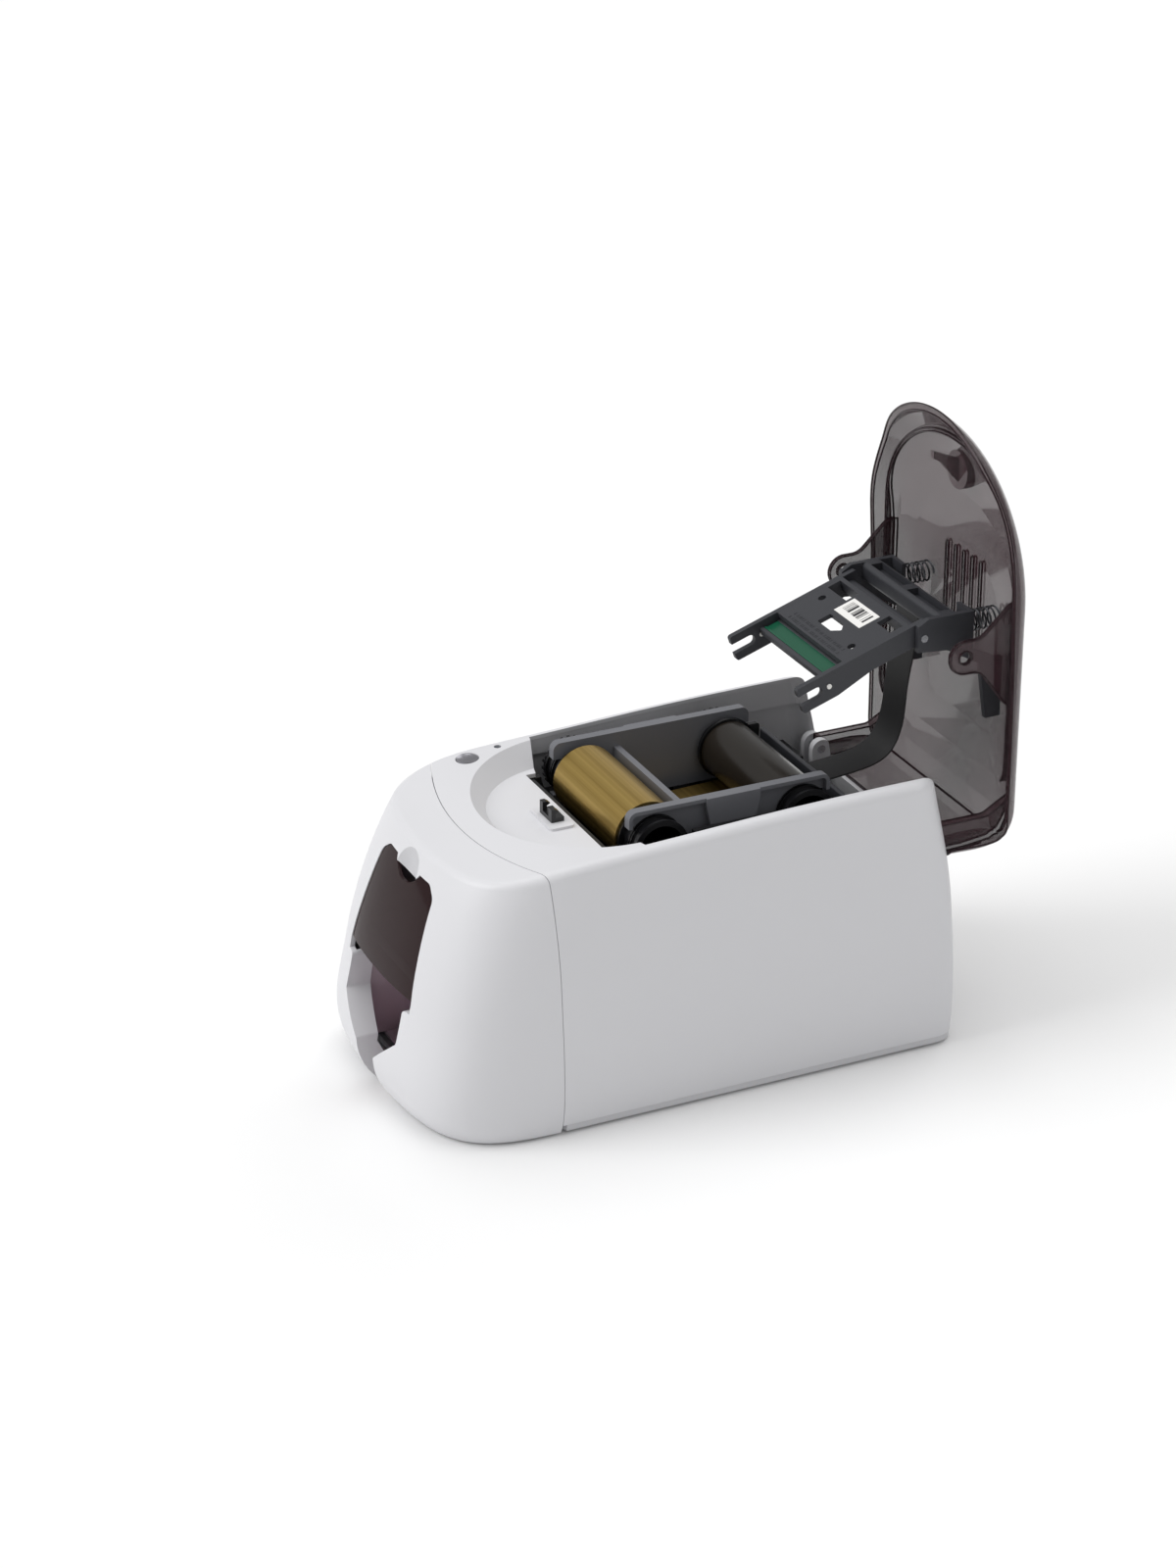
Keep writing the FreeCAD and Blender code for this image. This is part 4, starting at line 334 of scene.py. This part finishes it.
# %% Assign
FINISHES = {
    "satin_white": ["front_cover", "main_housing"],
    "base_white": ["base_plate"],
    # The chute's lilac is painted door shade on white plastic.
    "chute_white_in_door_shade": ["hopper_chute"],
    "grained_black": ["platen_pulley", "motor_pulley", "print_chassis", "chassis_plates",
                      "cartridge_rests", "bay_shelves", "board_parts", "power_inlet"],
    "frame_black": ["head_beam", "head_carrier", "carrier_arms"],
    "dark_grey": ["card_guide", "bay_rear_plate"],
    "cartridge_grey": ["cartridge_frame"],
    "gloss_black": ["latch_catch", "supply_core", "takeup_core"],
    "soft_rubber": ["rubber_feet", "drive_belt"],
    "platen_rubber": ["platen_roller", "front_feed_roller", "rear_feed_roller",
                      "front_pinch_roller", "rear_pinch_roller"],
    "nylon_white": ["fork_pins", "ribbon_gear"],
    "card_white": ["blank_cards"],
    "cable_black": ["head_cable"],
    "used_film": ["takeup_roll"],
    "green_ceramic": ["thermal_head"],
    "board_green": ["main_board"],
    "smoked_lid": ["lid_shell", "lid_latch_hook"],
    "smoked_door": ["hopper_window"],
    "lamp_clear": ["status_light"],
    "steel": ["hinge_pins", "pivot_pins", "platen_shaft", "feed_motor_shaft", "ribbon_motor_shaft",
              "chassis_screws"],
    "dull_metal": ["head_backing", "feed_motor", "ribbon_motor", "usb_port"],
    "dark_wire": ["carrier_springs"],
    "polished_button": ["power_button"],
    "gold_film": ["supply_roll", "ribbon_film"],
    "printed_plastic": ["printed_card"],
    "label_paper": ["head_label"],
}
for finish, names in FINISHES.items():
    for name in names:
        part = nodes[name]
        for slot in part.material_slots:
            slot.material = finishes[finish]
        if not part.material_slots:
            part.data.materials.append(finishes[finish])
print("finished nodes:", sum(map(len, FINISHES.values())), "of", len(nodes))

# %% [markdown]
# ## Raised marks on the print head
# The real carrier has two rows of moulded warning letters. Here they are plain strokes of the same
# size and depth, so the surface reads the same and says nothing. Their sizes are in millimetres.

# %% Moulded strokes
CARRIER_FACE = 9.35                # height of the carrier's face above its pivot
STROKE_ROWS = (46.2, 50.6)         # where each row starts, along the carrier from its pivot
ROW_HALF = 33.0
STROKE_LENGTH = 2.6
STROKE_WIDTHS = (1.1, 1.6, 2.1)
STROKE_GAP = 0.5
WORD_STROKES = 5
WORD_GAP = 2.2
STROKE_HEIGHT = 0.35
STROKE_ROOT = 0.05                 # how far a stroke starts below the face
TOP_SHARE = 0.72                   # the top's size, as a share of the foot's
STROKE_FACES = 6


def carrier_point(x, along, up):
    """Point at a place across, along and above the carrier, in millimetres."""
    offset = CARRIER_ALONG * (along * mm) + CARRIER_UP * (up * mm)
    return CARRIER_PIVOT + Vector((x * mm, 0, 0)) + offset


def add_stroke(form, x, along, wide):
    """Adds one raised stroke with sloping sides to a mesh."""
    corners = [Vector((x, along)), Vector((x + wide, along)),
               Vector((x + wide, along + STROKE_LENGTH)), Vector((x, along + STROKE_LENGTH))]
    middle = Vector((x + wide / 2, along + STROKE_LENGTH / 2))
    tops = [middle + (c - middle) * TOP_SHARE for c in corners]
    low = [form.verts.new(carrier_point(*c, CARRIER_FACE - STROKE_ROOT)) for c in corners]
    high = [form.verts.new(carrier_point(*c, CARRIER_FACE + STROKE_HEIGHT)) for c in tops]
    form.faces.new(high)
    for i in range(4):
        form.faces.new([low[i], low[(i + 1) % 4], high[(i + 1) % 4], high[i]])
    form.faces.new(low[::-1])


form = bmesh.new()
for along in STROKE_ROWS:
    x = -ROW_HALF
    count = 0
    while x < ROW_HALF:
        wide = STROKE_WIDTHS[count % len(STROKE_WIDTHS)]
        add_stroke(form, x, along, wide)
        x += wide + (STROKE_GAP if count % WORD_STROKES else WORD_GAP)
        count += 1
bmesh.ops.recalc_face_normals(form, faces=form.faces)
mesh = bpy.data.meshes.new("carrier_marks")
form.to_mesh(mesh)
form.free()
marks = linked("carrier_marks", mesh)
marks.data.materials.append(finishes["frame_black"])
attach(marks, "print_head")
print("strokes:", len(marks.data.polygons) // STROKE_FACES)

# %% [markdown]
# ## Side panels of the lower hopper
# Behind the lips of the funnel slot a thin panel on each side closes the way to the card well's
# cheeks. The outline is given as y and z, in millimetres like the panel's other sizes.

# %% Well side panels
PANEL_OUTLINE = [(-175.0, 16.0), (-157.0, 16.0), (-157.0, 79.0), (-167.0, 79.0)]
PANEL_INNER = 43.1
PANEL_WALL = 0.9
PANEL_ROUND = 0.2
PANEL_SIDES = {"well_side_far": -1, "well_side_near": 1}


def panel_mesh(name, low):
    """Flat panel with rounded edges, from a place across X upwards."""
    form = bmesh.new()
    face = form.faces.new([form.verts.new(Vector((low, y, z)) * mm) for y, z in PANEL_OUTLINE])
    made = bmesh.ops.extrude_face_region(form, geom=[face])
    top = [v for v in made["geom"] if isinstance(v, bmesh.types.BMVert)]
    bmesh.ops.translate(form, verts=top, vec=Vector((PANEL_WALL, 0, 0)) * mm)
    bmesh.ops.bevel(form, geom=form.edges[:], offset=PANEL_ROUND * mm, segments=2, affect="EDGES")
    bmesh.ops.recalc_face_normals(form, faces=form.faces)
    mesh = bpy.data.meshes.new(name)
    form.to_mesh(mesh)
    form.free()
    return mesh


for name, side in PANEL_SIDES.items():
    low = min(side * PANEL_INNER, side * (PANEL_INNER + PANEL_WALL))
    panel = linked(name, panel_mesh(name, low))
    # The panels take the chute's white, with the door's tinted shade painted into the colour.
    panel.data.materials.append(finishes["chute_white_in_door_shade"])
    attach(panel, "printer_body")
print("well side panels:", len(PANEL_SIDES))

# %% [markdown]
# ## Edge beads of the lid
# The lid's clear wall looks dark where its edges are seen end-on. The sharp edges of the lid's rim
# and of its vent slots get a fine rounded bead, taken from the CAD mesh itself, in a denser smoke.

# %% Beads along the sharp edges
BEAD_RADIUS = 0.7 * mm
SHARP = math.radians(38)
SHORTEST_BEAD = 15 * mm
SAME_POINT = 0.01 * mm
KEY_STEP = 0.02        # in mm: ends of edges that fall on the same step are one point


def sharp_chains(source):
    """Runs of points along the edges of a mesh where two faces meet at a sharp angle."""
    form = bmesh.new()
    form.from_mesh(source.data)
    bmesh.ops.remove_doubles(form, verts=form.verts, dist=SAME_POINT)
    ahead = {}
    for edge in form.edges:
        if len(edge.link_faces) == 2 and edge.calc_face_angle(0.0) > SHARP:
            a, b = (source.matrix_world @ v.co for v in edge.verts)
            keys = [tuple(round(c / (KEY_STEP * mm)) for c in v) for v in (a, b)]
            ahead.setdefault(keys[0], {})[keys[1]] = b
            ahead.setdefault(keys[1], {})[keys[0]] = a
    form.free()
    chains = []
    ends = [k for k in ahead if len(ahead[k]) != 2] + list(ahead)
    for start in ends:
        while ahead.get(start):
            here = start
            run = [Vector(here) * KEY_STEP * mm]
            while ahead.get(here):
                there = next(iter(ahead[here]))
                run.append(ahead[here].pop(there))
                ahead[there].pop(here, None)
                here = there
            chains.append(run)
    return chains


def bead_tubes(name, chains):
    """One mesh of round tubes along the chains of points that are long enough."""
    curve = bpy.data.curves.new(name, "CURVE")
    curve.dimensions = "3D"
    curve.bevel_depth = BEAD_RADIUS
    curve.bevel_resolution = 1
    for run in chains:
        if sum((b - a).length for a, b in zip(run, run[1:])) < SHORTEST_BEAD:
            continue
        line = curve.splines.new("POLY")
        line.points.add(len(run) - 1)
        for point, place in zip(line.points, run):
            point.co = (*place, 1.0)
    holder = linked(name, curve)
    solved = holder.evaluated_get(bpy.context.evaluated_depsgraph_get())
    made = bpy.data.meshes.new_from_object(solved)
    bpy.data.objects.remove(holder)
    made.name = name
    return made


chains = sharp_chains(nodes["lid_shell"])
beads = linked("lid_edge_beads", bead_tubes("lid_edge_beads", chains))
beads.data.materials.clear()
beads.data.materials.append(finishes["smoked_edge"])
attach(beads, "lid")
print("bead runs:", len(chains), "faces:", len(beads.data.polygons))
